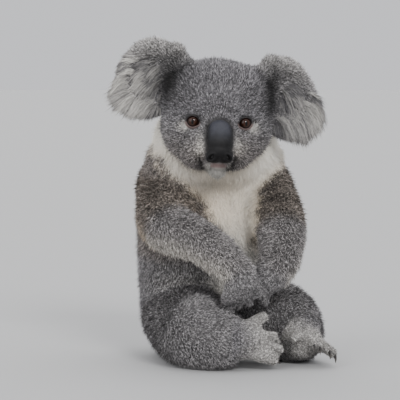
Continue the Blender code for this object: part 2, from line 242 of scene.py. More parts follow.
def placed(name: str, data: bpy.types.ID) -> bpy.types.Object:
    """Puts a new object in the scene.

    Args:
        name: its name.
        data: the mesh, lamp or camera that it holds.

    Returns:
        The object, at the origin.
    """
    thing = bpy.data.objects.new(name, data)
    bpy.context.scene.collection.objects.link(thing)
    return thing


def apply_modifier(piece: bpy.types.Object, kind: str, **settings: object) -> None:
    """Gives a piece a modifier and applies it.

    Args:
        piece: the object to change.
        kind: the modifier's type.
        **settings: its properties.
    """
    modifier = piece.modifiers.new(kind.lower(), kind)
    for name, value in settings.items():
        setattr(modifier, name, value)
    select_only(piece)
    bpy.ops.object.modifier_apply(modifier=modifier.name)


def named(piece: bpy.types.Object, name: str) -> bpy.types.Object:
    """Names a piece.

    Args:
        piece: the object.
        name: the name for it and its mesh.

    Returns:
        The same object.
    """
    piece.name = name
    piece.data.name = name
    return piece


def joined(name: str, parts: list[bpy.types.Object]) -> bpy.types.Object:
    """Joins parts into one object.

    Args:
        name: its name.
        parts: two or more objects.

    Returns:
        The joined object.
    """
    select_only(*parts)
    bpy.ops.object.join()
    return named(bpy.context.view_layer.objects.active, name)


def copy_of(node: str, name: str) -> bpy.types.Object:
    """A loose copy of a CAD node's mesh with its doubled points merged.

    Args:
        node: the node to copy.
        name: the copy's name.

    Returns:
        The new object, at the origin.
    """
    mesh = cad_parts[node].data.copy()
    mesh.materials.clear()
    piece = placed(name, mesh)
    with editing(piece):
        bpy.ops.mesh.remove_doubles(threshold=MERGE)
    return piece


def ball(radii: tuple, place: Matrix, segments: int = 32) -> bpy.types.Object:
    """An ellipsoid with its place in its mesh.

    Args:
        radii: its three half sizes in metres.
        place: the matrix that turns and moves it.
        segments: how many faces run round it.

    Returns:
        The new object, at the origin.
    """
    bpy.ops.object.select_all(action="DESELECT")
    bpy.ops.mesh.primitive_uv_sphere_add(segments=segments, ring_count=segments // 2, radius=1.0)
    piece = bpy.context.view_layer.objects.active
    with editing(piece):
        bpy.ops.transform.resize(value=radii)
    piece.data.transform(place)
    return piece


def balls(rounds: list | tuple, place: Matrix, segments: int) -> list[bpy.types.Object]:
    """Several ellipsoids in one frame.

    Args:
        rounds: for each, its middle and its three half sizes, in millimetres.
        place: the frame.
        segments: how many faces run round each.

    Returns:
        The new objects in the same order.
    """
    made = []
    for centre, radii in rounds:
        middle = place @ Matrix.Translation(Vector(centre) * MM)
        made.append(ball(tuple(size * MM for size in radii), middle, segments))
    return made


def keep_largest(piece: bpy.types.Object) -> bpy.types.Object:
    """Removes every loose part of a piece but the one with the most points.

    Args:
        piece: the object to clear.

    Returns:
        The object that holds the largest part.
    """
    select_only(piece)
    bpy.ops.mesh.separate(type="LOOSE")
    parts = sorted(bpy.context.selected_objects, key=lambda part: len(part.data.vertices))
    for part in parts[:-1]:
        bpy.data.objects.remove(part)
    return parts[-1]


def rows_of(items: bpy.types.bpy_prop_collection, name: str, columns: int, kind: type = float) -> Array:
    """One property of many items.

    Args:
        items: a mesh's points, edges or triangles.
        name: the property.
        columns: how many numbers it has.
        kind: the type of the numbers.

    Returns:
        One row for each item.
    """
    flat = np.empty(len(items) * columns, kind)
    items.foreach_get(name, flat)
    return flat.reshape(-1, columns)


def points_of(mesh: bpy.types.Mesh) -> Array:
    """A mesh's points in millimetres, one row each."""
    return rows_of(mesh.vertices, "co", 3) / MM


def set_points(mesh: bpy.types.Mesh, points: Array) -> None:
    """Moves a mesh's points to these places in millimetres."""
    mesh.vertices.foreach_set("co", (points * MM).ravel())
    mesh.update()


def normals_of(mesh: bpy.types.Mesh) -> Array:
    """A mesh's point normals, one row each."""
    return rows_of(mesh.vertex_normals, "vector", 3)


def edges_of(mesh: bpy.types.Mesh) -> Array:
    """The two point numbers of each edge."""
    return rows_of(mesh.edges, "vertices", 2, np.int64)


def relaxed(values: Array, edges: Array, rounds: int, share: Array | float = 0.5) -> Array:
    """Evens out values over a mesh by moving each towards the mean of its neighbours.

    Args:
        values: one row for each point.
        edges: the mesh's edges.
        rounds: how often it is done.
        share: how far each goes towards the mean, for each point or for all.

    Returns:
        The evened values.
    """
    count = len(values)
    columns = values.reshape(count, -1).copy()
    ends = np.concatenate([edges[:, 0], edges[:, 1]])
    others = np.concatenate([edges[:, 1], edges[:, 0]])
    degree = np.maximum(np.bincount(ends, minlength=count), 1)
    step = np.broadcast_to(np.asarray(share, float), (count,))[:, None]
    for _ in range(rounds):
        mean = np.column_stack(
            [np.bincount(ends, weights=column[others], minlength=count) / degree for column in columns.T]
        )
        columns += step * (mean - columns)
    return columns.reshape(values.shape)


def set_attribute(mesh: bpy.types.Mesh, name: str, values: Array) -> None:
    """Stores one number for each point under a name that materials read."""
    layer = mesh.attributes.get(name) or mesh.attributes.new(name, "FLOAT", "POINT")
    layer.data.foreach_set("value", values.astype(np.float32))


# ------------------------ finishes


class Nodes:
    """Lays out a material's nodes from left to right."""

    def __init__(self, name: str) -> None:
        """Starts a material with its shader.

        Args:
            name: the material's name.
        """
        self.material = bpy.data.materials.new(name)
        self.material.use_nodes = True
        self.tree = self.material.node_tree
        self.shader = self.tree.nodes["Principled BSDF"]
        self.count = 0

    def add(self, kind: str, **settings: object) -> bpy.types.Node:
        """Adds a node.

        Args:
            kind: the node's type.
            **settings: its own properties.

        Returns:
            The new node, laid out after the last one.
        """
        node = self.tree.nodes.new(kind)
        node.location = (-2400 + 180 * (self.count % 12), 300 - 260 * (self.count // 12))
        self.count += 1
        for name, value in settings.items():
            setattr(node, name, value)
        return node

    def feed(self, socket: Socket, value: object) -> None:
        """Links a socket to another, or sets it to a plain value.

        Args:
            socket: the input.
            value: an output, a number, or a colour of three numbers.
        """
        if isinstance(value, Socket):
            self.tree.links.new(value, socket)
        elif isinstance(value, tuple) and socket.type == "RGBA" and len(value) == 3:
            socket.default_value = (*value, 1.0)
        else:
            socket.default_value = value

    def attribute(self, name: str) -> Socket:
        """A number stored on the mesh under a name."""
        return self.add("ShaderNodeAttribute", attribute_name=name).outputs["Fac"]

    def math(self, operation: str, first: object, second: object = 0.0) -> Socket:
        """One operation on two values, not clamped.

        Args:
            operation: its name in Blender.
            first: a socket or a number.
            second: a socket or a number, where the operation takes two.

        Returns:
            The result.
        """
        node = self.add("ShaderNodeMath", operation=operation)
        self.feed(node.inputs[0], first)
        self.feed(node.inputs[1], second)
        return node.outputs[0]

    def times(self, *factors: object) -> Socket:
        """The product of two or more values.

        Args:
            *factors: sockets or numbers.

        Returns:
            The product.
        """
        product = factors[0]
        for factor in factors[1:]:
            product = self.math("MULTIPLY", product, factor)
        return product

    def plus(self, first: object, second: object) -> Socket:
        """The sum of two values."""
        return self.math("ADD", first, second)

    def minus(self, first: object, second: object) -> Socket:
        """The first value less the second."""
        return self.math("SUBTRACT", first, second)

    def most(self, first: object, second: object) -> Socket:
        """The larger of two values."""
        return self.math("MAXIMUM", first, second)

    def squares(self, first: object, second: object) -> Socket:
        """The sum of two values' squares."""
        return self.plus(self.times(first, first), self.times(second, second))

    def ramp(self, value: object, low: float, high: float, start: object, end: object) -> Socket:
        """Maps values smoothly from one range to another, clamped.

        Args:
            value: what is mapped.
            low: the value that gives start.
            high: the value that gives end.
            start: the result at low.
            end: the result at high.

        Returns:
            The mapped value.
        """
        node = self.add("ShaderNodeMapRange", interpolation_type="SMOOTHSTEP")
        for socket, given in zip(node.inputs[:5], (value, low, high, start, end)):
            self.feed(socket, given)
        return node.outputs[0]

    def mix(self, share: object, first: object, second: object, blend: str = "MIX") -> Socket:
        """Mixes two colours.

        Args:
            share: how much of the second there is.
            first: a colour or a socket.
            second: a colour or a socket.
            blend: how the second is laid over the first.

        Returns:
            The mixed colour.
        """
        node = self.add("ShaderNodeMix", data_type="RGBA", blend_type=blend)
        for number, value in zip((0, 6, 7), (share, first, second)):
            self.feed(node.inputs[number], value)
        return node.outputs[2]

    def shaded(self, colour: object, brightness: object) -> Socket:
        """A colour, darker or lighter.

        Args:
            colour: a colour or a socket.
            brightness: what it is multiplied by.

        Returns:
            The shaded colour.
        """
        grey = self.add("ShaderNodeCombineXYZ")
        for socket in grey.inputs:
            self.feed(socket, brightness)
        return self.mix(1.0, colour, grey.outputs[0], "MULTIPLY")

    def place(self, place: Matrix | None = None) -> Socket:
        """Where a point lies on the piece.

        Args:
            place: a frame of the piece's own, where one is wanted.

        Returns:
            Object coordinates, seen from that frame.
        """
        coordinates = self.add("ShaderNodeTexCoord").outputs["Object"]
        if place is None:
            return coordinates
        back = place.inverted()
        node = self.add("ShaderNodeMapping", vector_type="POINT")
        self.feed(node.inputs["Vector"], coordinates)
        node.inputs["Location"].default_value = back.to_translation()
        node.inputs["Rotation"].default_value = back.to_euler()
        return node.outputs[0]

    def axes(self, vector: Socket) -> tuple:
        """Splits a vector.

        Args:
            vector: what is split.

        Returns:
            Its x, y and z.
        """
        split = self.add("ShaderNodeSeparateXYZ")
        self.feed(split.inputs[0], vector)
        return tuple(split.outputs)

    def noise(self, vector: object, scale: float, detail: float = 2.0, rough: float = 0.5) -> Socket:
        """Plain noise about one half.

        Args:
            vector: where it is read.
            scale: how many waves there are in a metre, roughly.
            detail: how many finer layers it has.
            rough: how strong these are.

        Returns:
            The noise.
        """
        node = self.add("ShaderNodeTexNoise")
        for name, value in (("Vector", vector), ("Scale", scale), ("Detail", detail), ("Roughness", rough)):
            self.feed(node.inputs[name], value)
        return node.outputs["Fac"]

    def bump(self, height: object, strength: float, distance: float) -> None:
        """Gives the shader a bump.

        Args:
            height: the bump's map.
            strength: how much of it is felt.
            distance: its depth in metres.
        """
        node = self.add("ShaderNodeBump")
        for name, value in (("Strength", strength), ("Distance", distance), ("Height", height)):
            self.feed(node.inputs[name], value)
        self.tree.links.new(node.outputs[0], self.shader.inputs["Normal"])

    def finish(
        self, colour: object, roughness: object, specular: float, **sockets: float
    ) -> bpy.types.Material:
        """Wires the shader and hands over the material.

        Args:
            colour: its base colour.
            roughness: how rough it is.
            specular: how strongly it shines.
            **sockets: plain values of more inputs, with low lines for the blanks in their names.

        Returns:
            The finished material.
        """
        self.feed(self.shader.inputs["Base Color"], colour)
        self.feed(self.shader.inputs["Roughness"], roughness)
        self.shader.inputs["Specular IOR Level"].default_value = specular
        for name, value in sockets.items():
            self.shader.inputs[name.replace("_", " ")].default_value = value
        return self.material


def linear(red: float, green: float, blue: float) -> tuple:
    """A colour in the shader's own scale.

    Args:
        red: from 0 to 255, as shown on a screen, as the other two.
        green: the same.
        blue: the same.

    Returns:
        Three numbers from 0 to 1.
    """
    shown = np.array([red, green, blue]) / 255.0
    curve = ((shown + 0.055) / 1.055) ** 2.4
    return tuple(float(v) for v in np.where(shown <= 0.04045, shown / 12.92, curve))


@dataclass(frozen=True)
class CoatColours:
    """The hues of the coat, which the skin under it shares."""

    grey: tuple = linear(98, 96, 98)
    warm: tuple = linear(100, 93, 88)
    pale: tuple = linear(238, 234, 225)
    cream: tuple = linear(240, 217, 181)
    dark: tuple = linear(22, 21, 21)

    def ground(self, nodes: Nodes) -> Socket:
        """The marked colour before the hairs' own shading.

        Args:
            nodes: the material's nodes, which read the piece's markings.

        Returns:
            The colour.
        """
        warm, pale, dark = (nodes.attribute(name) for name in ("warm", "pale", "dark"))
        brown, white = nodes.mix(warm, self.grey, self.warm), nodes.mix(warm, self.pale, self.cream)
        return nodes.mix(dark, nodes.mix(pale, brown, white), self.dark)


@dataclass(frozen=True)
class FurFinish:
    """Dull woolly hair, dark at the root, whose tips are pale on some tufts and dark on others."""

    colours: CoatColours = CoatColours()
    root_shade: float = 0.40
    dark_tip: float = 0.42
    pale_tip: float = 2.35
    pale_rise: float = 0.90  # how evenly lit white tufts are from root to tip, and silky ones
    silk_rise: float = 0.80
    pale_calm: float = 0.93  # how much of the contrast white tufts lose, and silky ones
    silk_calm: float = 0.70
    speckle: tuple = (470.0, 0.52, 1.48)  # the fine speckle's scale, and how dark and how light it gets
    dull: float = 0.80

    def material(self) -> bpy.types.Material:
        """The material of every coat piece.

        Returns:
            The material.
        """
        nodes = Nodes("coat_fur")
        along, tone, pale, silk = (nodes.attribute(name) for name in ("along", "tone", "pale", "silk"))
        even = nodes.most(nodes.times(pale, self.pale_rise), nodes.times(silk, self.silk_rise))
        rise = nodes.most(nodes.ramp(along, 0.05, 0.75, self.root_shade, 1.0), even)
        contrast = nodes.minus(1.0, nodes.times(pale, self.pale_calm))
        contrast = nodes.times(contrast, nodes.ramp(silk, 0.0, 1.0, 1.0, 1.0 - self.silk_calm))
        tip = nodes.times(nodes.ramp(along, 0.30, 0.85, 0.0, 1.0), contrast)
        tip_shade = nodes.ramp(tone, 0.30, 0.70, self.dark_tip, self.pale_tip)
        tip_shade = nodes.ramp(tip, 0.0, 1.0, 1.0, tip_shade)
        scale, darkest, lightest = self.speckle
        speckle = nodes.ramp(nodes.noise(nodes.place(), scale, 1.0), 0.36, 0.64, darkest, lightest)
        speckle = nodes.ramp(contrast, 0.0, 1.0, 1.0, speckle)
        colour = nodes.shaded(self.colours.ground(nodes), nodes.times(rise, tip_shade, speckle))
        return nodes.finish(colour, self.dull, 0.18, Sheen_Weight=0.06, Sheen_Roughness=0.5)


@dataclass(frozen=True)
class SkinFinish:
    """Skin under the coat: the coat's ground colour in its shade, bare and pink at lids and lips."""

    colours: CoatColours = CoatColours()
    bare: tuple = linear(114, 97, 94)
    mottled: tuple = linear(66, 54, 54)
    lid: tuple = linear(24, 20, 21)
    shade: float = 0.5
    dry: float = 0.8
    wet: float = 0.35  # how much less rough the lids' rims are

    def material(self) -> bpy.types.Material:
        """The skin's material.

        Returns:
            The material.
        """
        nodes = Nodes("skin")
        place, lid = nodes.place(), nodes.attribute("lid")
        depth = nodes.plus(nodes.times(nodes.attribute("pale"), 0.4), self.shade)
        furred = nodes.shaded(self.colours.ground(nodes), depth)
        mottle = nodes.ramp(nodes.noise(place, 700.0, 3.0), 0.3, 0.7, 0.0, 1.0)
        pink = nodes.mix(nodes.times(mottle, 0.35), self.bare, self.mottled)
        colour = nodes.mix(lid, nodes.mix(nodes.attribute("bare"), furred, pink), self.lid)
        nodes.bump(nodes.noise(place, 1500.0, 4.0), 0.5, 0.0004)
        return nodes.finish(colour, nodes.minus(self.dry, nodes.times(lid, self.wet)), 0.35)


@dataclass(frozen=True)
class NoseFinish:
    """Bare leathery nose, finely pebbled and satin: black, with a painted bluish sheen of the sky on its top,
    and painted shade in the creases of its pebbles and inside its nostrils.
    """

    # the painted sheen of the sky on the nose's top, over black leather
    top: tuple = linear(56, 57, 64)
    low: tuple = linear(16, 15, 16)
    # painted shade in the creases between the pebbles
    rim: tuple = linear(16, 16, 17)
    # painted shade inside the nostrils
    nostril_shade: tuple = linear(7, 6, 6)
    fade: tuple = (0.46, 0.88)  # where the black turns to the painted sheen, as shares of its height
    middle: tuple = (0.008, 0.0155)  # from where to where the painted sheen ends beside its middle line
    pebbles: float = 1350.0

    def material(self, place: Matrix, height: tuple) -> bpy.types.Material:
        """The nose's material.

        Args:
            place: the head's frame.
            height: the nose's lowest and highest point in that frame, in metres.

        Returns:
            A material that reads Object coordinates from the head's frame.
        """
        nodes = Nodes("nose_leather")
        where = nodes.place(place)
        x, _, z = nodes.axes(where)
        low, high = height
        cloud = nodes.noise(where, 120.0, 3.0)
        level = nodes.plus(z, nodes.times(nodes.minus(cloud, 0.5), 0.010))
        start, end = (low + share * (high - low) for share in self.fade)
        # The top is lit with the painted sheen, which fades towards the sides.
        lit = nodes.ramp(level, start, end, 0.0, 1.0)
        aside = nodes.ramp(nodes.math("ABSOLUTE", x), *self.middle, 1.0, 0.25)
        colour = nodes.mix(nodes.times(lit, aside), self.low, self.top)
        pebble = nodes.add("ShaderNodeTexVoronoi", feature="DISTANCE_TO_EDGE")
        nodes.feed(pebble.inputs["Vector"], where)
        nodes.feed(pebble.inputs["Scale"], self.pebbles)
        crease = nodes.ramp(pebble.outputs["Distance"], 0.0, 0.22, 0.0, 1.0)
        grain = nodes.noise(where, 2600.0, 3.0)
        nodes.bump(nodes.plus(crease, nodes.times(grain, 0.35)), 0.45, 0.00022)
        # Darkens the creases between the pebbles: painted shade.
        colour = nodes.mix(nodes.ramp(crease, 0.0, 1.0, 0.28, 0.0), colour, self.rim)
        nostril_shade = nodes.attribute("nostril_shade")
        rough = nodes.most(nodes.ramp(cloud, 0.3, 0.7, 0.42, 0.56), nostril_shade)
        return nodes.finish(nodes.mix(nostril_shade, colour, self.nostril_shade), rough, 0.20)


@dataclass(frozen=True)
class IrisFinish:
    """A brown iris with radial fibres, a dark limbus and an upright slit pupil, then dull white."""

    outer: tuple = linear(26, 13, 8)
    inner: tuple = linear(56, 29, 15)
    pupil: tuple = linear(5, 4, 4)
    white: tuple = linear(36, 25, 22)
    veins: tuple = linear(34, 20, 18)
    radius: float = 6.2 * MM
    slit: tuple = (1.35 * MM, 3.0 * MM)

    def material(self, name: str, place: Matrix) -> bpy.types.Material:
        """One eyeball's material.

        Args:
            name: the material's name.
            place: the eye's frame, looking along -Y from its centre.

        Returns:
            A material that reads Object coordinates from that frame.
        """
        nodes = Nodes(name)
        where = nodes.place(place)
        x, _, z = nodes.axes(where)
        reach = nodes.math("SQRT", nodes.squares(x, z))
        fibre_place = nodes.add("ShaderNodeCombineXYZ")
        nodes.feed(fibre_place.inputs[0], nodes.times(nodes.math("ARCTAN2", z, x), 9.0))
        nodes.feed(fibre_place.inputs[1], nodes.times(reach, 260.0))
        fibres = nodes.noise(fibre_place.outputs[0], 1.6, 4.0, 0.6)
        glow = nodes.ramp(reach, self.radius * 0.95, self.radius * 0.30, 0.0, 1.0)
        light = nodes.times(glow, nodes.ramp(fibres, 0.28, 0.72, 0.35, 1.0))
        iris = nodes.mix(light, self.outer, self.inner)
        limbus = nodes.ramp(reach, self.radius * 0.88, self.radius, 0.0, 1.0)
        iris = nodes.mix(limbus, iris, self.pupil)
        wide, tall = self.slit
        slit = nodes.squares(nodes.math("DIVIDE", x, wide), nodes.math("DIVIDE", z, tall))
        iris = nodes.mix(nodes.ramp(slit, 0.75, 1.25, 1.0, 0.0), iris, self.pupil)
        outside = nodes.ramp(reach, self.radius, self.radius * 1.12, 0.0, 1.0)
        colour = nodes.mix(outside, iris, nodes.mix(nodes.noise(where, 900.0, 4.0), self.white, self.veins))
        return nodes.finish(colour, 0.5, 0.0, Coat_Weight=0.55, Coat_Roughness=0.03)


@dataclass(frozen=True)
class HornFinish:
    """Dark horn, paler and worn to the tip, with fine lines along it."""

    root: tuple = linear(26, 23, 22)
    tip: tuple = linear(62, 55, 48)
    cloud: float = 0.7  # how unevenly it is worn

    def material(self) -> bpy.types.Material:
        """The claws' material.

        Returns:
            The material.
        """
        nodes = Nodes("claw_horn")
        where = nodes.place()
        cloud = nodes.minus(nodes.noise(where, 420.0), 0.5)
        worn = nodes.plus(nodes.attribute("along"), nodes.times(cloud, self.cloud))
        colour = nodes.mix(nodes.ramp(worn, 0.35, 1.15, 0.0, 1.0), self.root, self.tip)
        nodes.bump(nodes.noise(where, 1900.0, 3.0), 0.3, 0.0002)
        return nodes.finish(colour, nodes.ramp(worn, 0.0, 1.0, 0.30, 0.48), 0.5)


@dataclass(frozen=True)
class FloorFinish:
    """Plain pale matt floor."""

    colour: tuple = linear(168, 168, 168)
    cloudy: tuple = linear(164, 164, 164)

    def material(self) -> bpy.types.Material:
        """The floor's material.

        Returns:
            The material.
        """
        nodes = Nodes("studio_floor")
        cloud = nodes.noise(nodes.place(), 3.0, 4.0)
        return nodes.finish(nodes.mix(nodes.times(cloud, 0.10), self.colour, self.cloudy), 0.85, 0.2)


# ------------------------ the animal's own frames


def middle_of(*nodes: str) -> Vector:
    """The middle of one or more nodes, in metres."""
    middles = [sum(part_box(node), Vector()) / 2 for node in nodes]
    return sum(middles, Vector()) / len(middles)


def place_of(*nodes: str) -> Array:
    """The middle of one or more nodes, in millimetres."""
    return np.array(middle_of(*nodes)) / MM


def claw_nodes(limb: str, side: str) -> list[str]:
    """The claws of one hand or foot, in the order of its digits; the foot's first toe has none."""
    digits = FINGERS if limb == "hand" else FINGERS[1:]
    return [f"claw_{limb}_{side}_{digit}" for digit in digits]


def about(axis: str, degrees: float) -> Matrix:
    """A rotation about an axis."""
    return Matrix.Rotation(math.radians(degrees), 4, axis)


def turn_of(place: Matrix) -> Array:
    """A frame's rotation."""
    return np.array(place.to_3x3())


def seen_from(place: Matrix, points: Array) -> Array:
    """World points, in millimetres, as a frame sees them."""
    return (points - np.array(place.to_translation()) / MM) @ turn_of(place)


@dataclass(frozen=True)
class HeadFrame:
    """The head's axes: +X to its left, -Y the way it looks, +Z up, from the middle of the head."""

    turn_degrees: float = 4.2
    roll_degrees: float = 2.2
    nod_degrees: float = 2.0
    eyes_forward: float = -43.0  # the eyes' middles in this frame, millimetres
    eyes_up: float = -6.0

    def turn(self) -> Matrix:
        """The head's rotation.

        Returns:
            A matrix of three rows.
        """
        turn = about("Z", self.turn_degrees) @ about("Y", self.roll_degrees)
        return (turn @ about("X", self.nod_degrees)).to_3x3()

    def centre(self) -> Vector:
        """The middle of the head, found from the eyes of the frame."""
        inward = self.turn() @ Vector((0, self.eyes_forward, self.eyes_up)) * MM
        return middle_of("eye_left", "eye_right") - inward

    def matrix(self) -> Matrix:
        """The frame as one matrix, in metres."""
        return Matrix.Translation(self.centre()) @ self.turn().to_4x4()

    def local(self, points: Array) -> Array:
        """World points, in millimetres, as this frame sees them."""
        return seen_from(self.matrix(), points)

    def world_vector(self, vectors: Array) -> Array:
        """Directions of this frame, turned to the world."""
        return vectors @ np.array(self.turn()).T


@dataclass(frozen=True)
class EarShape:
    """One ear under its fur, in the head's frame, in millimetres: a round plate with a thick rim."""

    side: int
    centre: tuple
    tilt: float
    half_width: float  # with the fur
    outward: float = 24.0
    half_height: float = 40.0  # with the fur
    plate: float = 4.5  # half its thickness
    rim: float = 9.0  # the rim's radius without fur
    fur: float = 5.0  # from the rim to the fur's outside
    rim_arc: tuple = (-100.0, 140.0)  # the rim's ends in degrees, from outward through up
    rim_rounds: int = 22
    narrow: float = 0.15  # how much its upper outer part is drawn in
    slope: float = 0.0  # how much its top falls to the outside
    brim: tuple = (22.5, 12.0, 20.0, 42.0)  # the locks' upper limit: height, its fall, from and to where
    hollow_dark_and_shade: tuple = ((-26.0, -8.0), (24.0, 38.0))  # darker fur with painted shade inside the hollow: middle and half sizes
    fringe: tuple = ((-120, 42), (-91, 48), (-65, 54), (-49, 60), (-32, 67), (-5, 44), (18, 42), (50, 41))
    lock_tone: float = 0.14

    def matrix(self, head: HeadFrame) -> Matrix:
        """The ear's frame: +X out from the head, -Y out of the hollow, +Z up.

        Args:
            head: the head's frame.

        Returns:
            The frame as one matrix, in metres.
        """
        place = head.matrix() @ Matrix.Translation(Vector(self.centre) * MM)
        place = place @ about("Z", self.side * self.outward) @ about("Y", self.side * self.tilt)
        return place @ Matrix.Diagonal((self.side, 1, 1, 1))

    def local(self, points: Array, head: HeadFrame) -> Array:
        """World points, in millimetres, as the ear's frame sees them."""
        return seen_from(self.matrix(head), points)

    def build(self, head: HeadFrame) -> bpy.types.Object:
        """The plate, its rim and its fleshy root, as overlapping rounds.

        Args:
            head: the head's frame.

        Returns:
            The rounds as one object, in their place.
        """
        inner = self.rim + self.fur
        wide, tall = self.half_width - inner, self.half_height - 9.0
        rounds = [
            ((0.0, 5.0, 0.0), (self.half_width - 9.0, self.plate, self.half_height - 6.0)),
            ((12.0 - self.half_width, 4.0, 0.0), (17.0, 10.0, 22.0)),
            ((-28.0, 1.0, 25.0), (9.0, 8.0, 9.0)),
        ]
        for angle in np.radians(np.linspace(*self.rim_arc, self.rim_rounds)):
            middle = (wide * math.cos(angle), 0.0, tall * math.sin(angle))
            rim = self.rim - 3.2 * float(smoothstep(0.45, -0.15, angle))
            rounds.append((middle, (rim, rim - 1.5, rim)))
        ear = joined("pinna", balls(rounds, Matrix(), 24))
        points = points_of(ear.data)
        narrow = self.narrow * smoothstep(-12.0, 30.0, points[:, 2])
        points[:, 0] -= narrow * np.maximum(points[:, 0], 0.0)
        points[:, 2] -= self.slope * smoothstep(-25.0, 35.0, points[:, 0]) * np.maximum(points[:, 2], 0.0)
        set_points(ear.data, points)
        ear.data.transform(self.matrix(head))
        if self.side < 0:
            ear.data.flip_normals()
        return ear


EARS = {
    "left": EarShape(
        1, (78.0, 2.0, 26.0), 14.0, 46.0, slope=0.34, brim=(12.5, 14.0, 0.0, 42.0),
        hollow_dark_and_shade=((-26.0, -12.0), (18.0, 46.0)), lock_tone=-0.02,
        fringe=((-120, 44), (-90, 51), (-70, 57), (-50, 66), (-20, 66), (-8, 54), (7, 46), (50, 40)),
    ),
    "right": EarShape(-1, (-72.0, 2.0, 40.0), 4.0, 45.0),
}


@dataclass(frozen=True)
class EyeShape:
    """One eye in the head: its ball, its clear front and the opening between its lids, in millimetres."""

    side: int
    gaze_out: float = 10.0
    ball_radius: float = 8.4
    cornea_radius: float = 6.9
    cornea_rise: float = 2.2
    opening: tuple = (6.5, 5.8)
    lid: float = 1.1

    @property
    def name(self) -> str:
        """Which of the two eyes it is."""
        return "left" if self.side > 0 else "right"

    def matrix(self, head: HeadFrame) -> Matrix:
        """The eye's frame: -Y along its gaze, +X to the koala's left."""
        gaze = about("Z", self.side * self.gaze_out)
        return Matrix.Translation(middle_of(f"eye_{self.name}")) @ head.turn().to_4x4() @ gaze

    def local(self, points: Array, head: HeadFrame) -> Array:
        """World points, in millimetres, as the eye's frame sees them."""
        return seen_from(self.matrix(head), points)


# ------------------------ skin


FLESH = ["rump", "belly", "chest", "neck", "head", "lower_jaw"]
LIMB_PARTS = ("upper_arm", "forearm", "hand", "thigh", "shank", "foot")
FLESH += [f"{part}_{side}" for part in LIMB_PARTS for side, _ in SIDES]
EAR_NODES = [f"ear_{side}" for side, _ in SIDES]
LABELS = {name: number for number, name in enumerate(FLESH + EAR_NODES + ["nose", "eyes"])}


@dataclass(frozen=True)
class Lie:
    """How the coat lies on one stretch of the body, in millimetres and degrees."""

    depth: float  # of the skin under the solid's surface
    length: float
    width: float
    lean: float  # of the tufts from the skin
    calm: int = 10  # how strongly the skin is evened


BODY_LIE = Lie(4.2, 9.0, 1.45, 36.0, 26)
LIES = {
    "rump": BODY_LIE,
    "belly": BODY_LIE,
    "chest": Lie(4.2, 9.5, 1.40, 34.0, 26),
    "neck": Lie(4.2, 9.5, 1.40, 33.0, 26),
    "head": Lie(3.9, 6.6, 1.25, 38.0, 10),
    "lower_jaw": Lie(1.6, 7.5, 1.00, 24.0, 5),
    "upper_arm": Lie(4.0, 8.5, 1.40, 36.0, 20),
    "forearm": Lie(3.6, 8.0, 1.30, 34.0, 14),
    "hand": Lie(1.2, 3.8, 0.95, 20.0, 3),
    "thigh": Lie(4.0, 8.5, 1.40, 36.0, 20),
    "shank": Lie(3.6, 7.5, 1.30, 34.0, 14),
    "foot": Lie(1.3, 3.6, 0.95, 18.0, 3),
    "ear": Lie(0.0, 6.8, 1.10, 32.0, 6),
    "nose": Lie(1.8, 2.4, 0.80, 18.0, 3),
    "eyes": Lie(0.6, 1.8, 0.65, 14.0, 2),
}


def lie_of(node: str) -> Lie:
    """The lie of the coat on a node, by its own name or the part of the limb that it is."""
    for word, lie in LIES.items():
        if node.startswith(word):
            return lie
    raise KeyError(node)


def lies_on(labels: Array, *words: str) -> Array:
    """Which points come from nodes whose names start with one of some words."""
    return np.isin(labels, [number for name, number in LABELS.items() if name.startswith(words)])


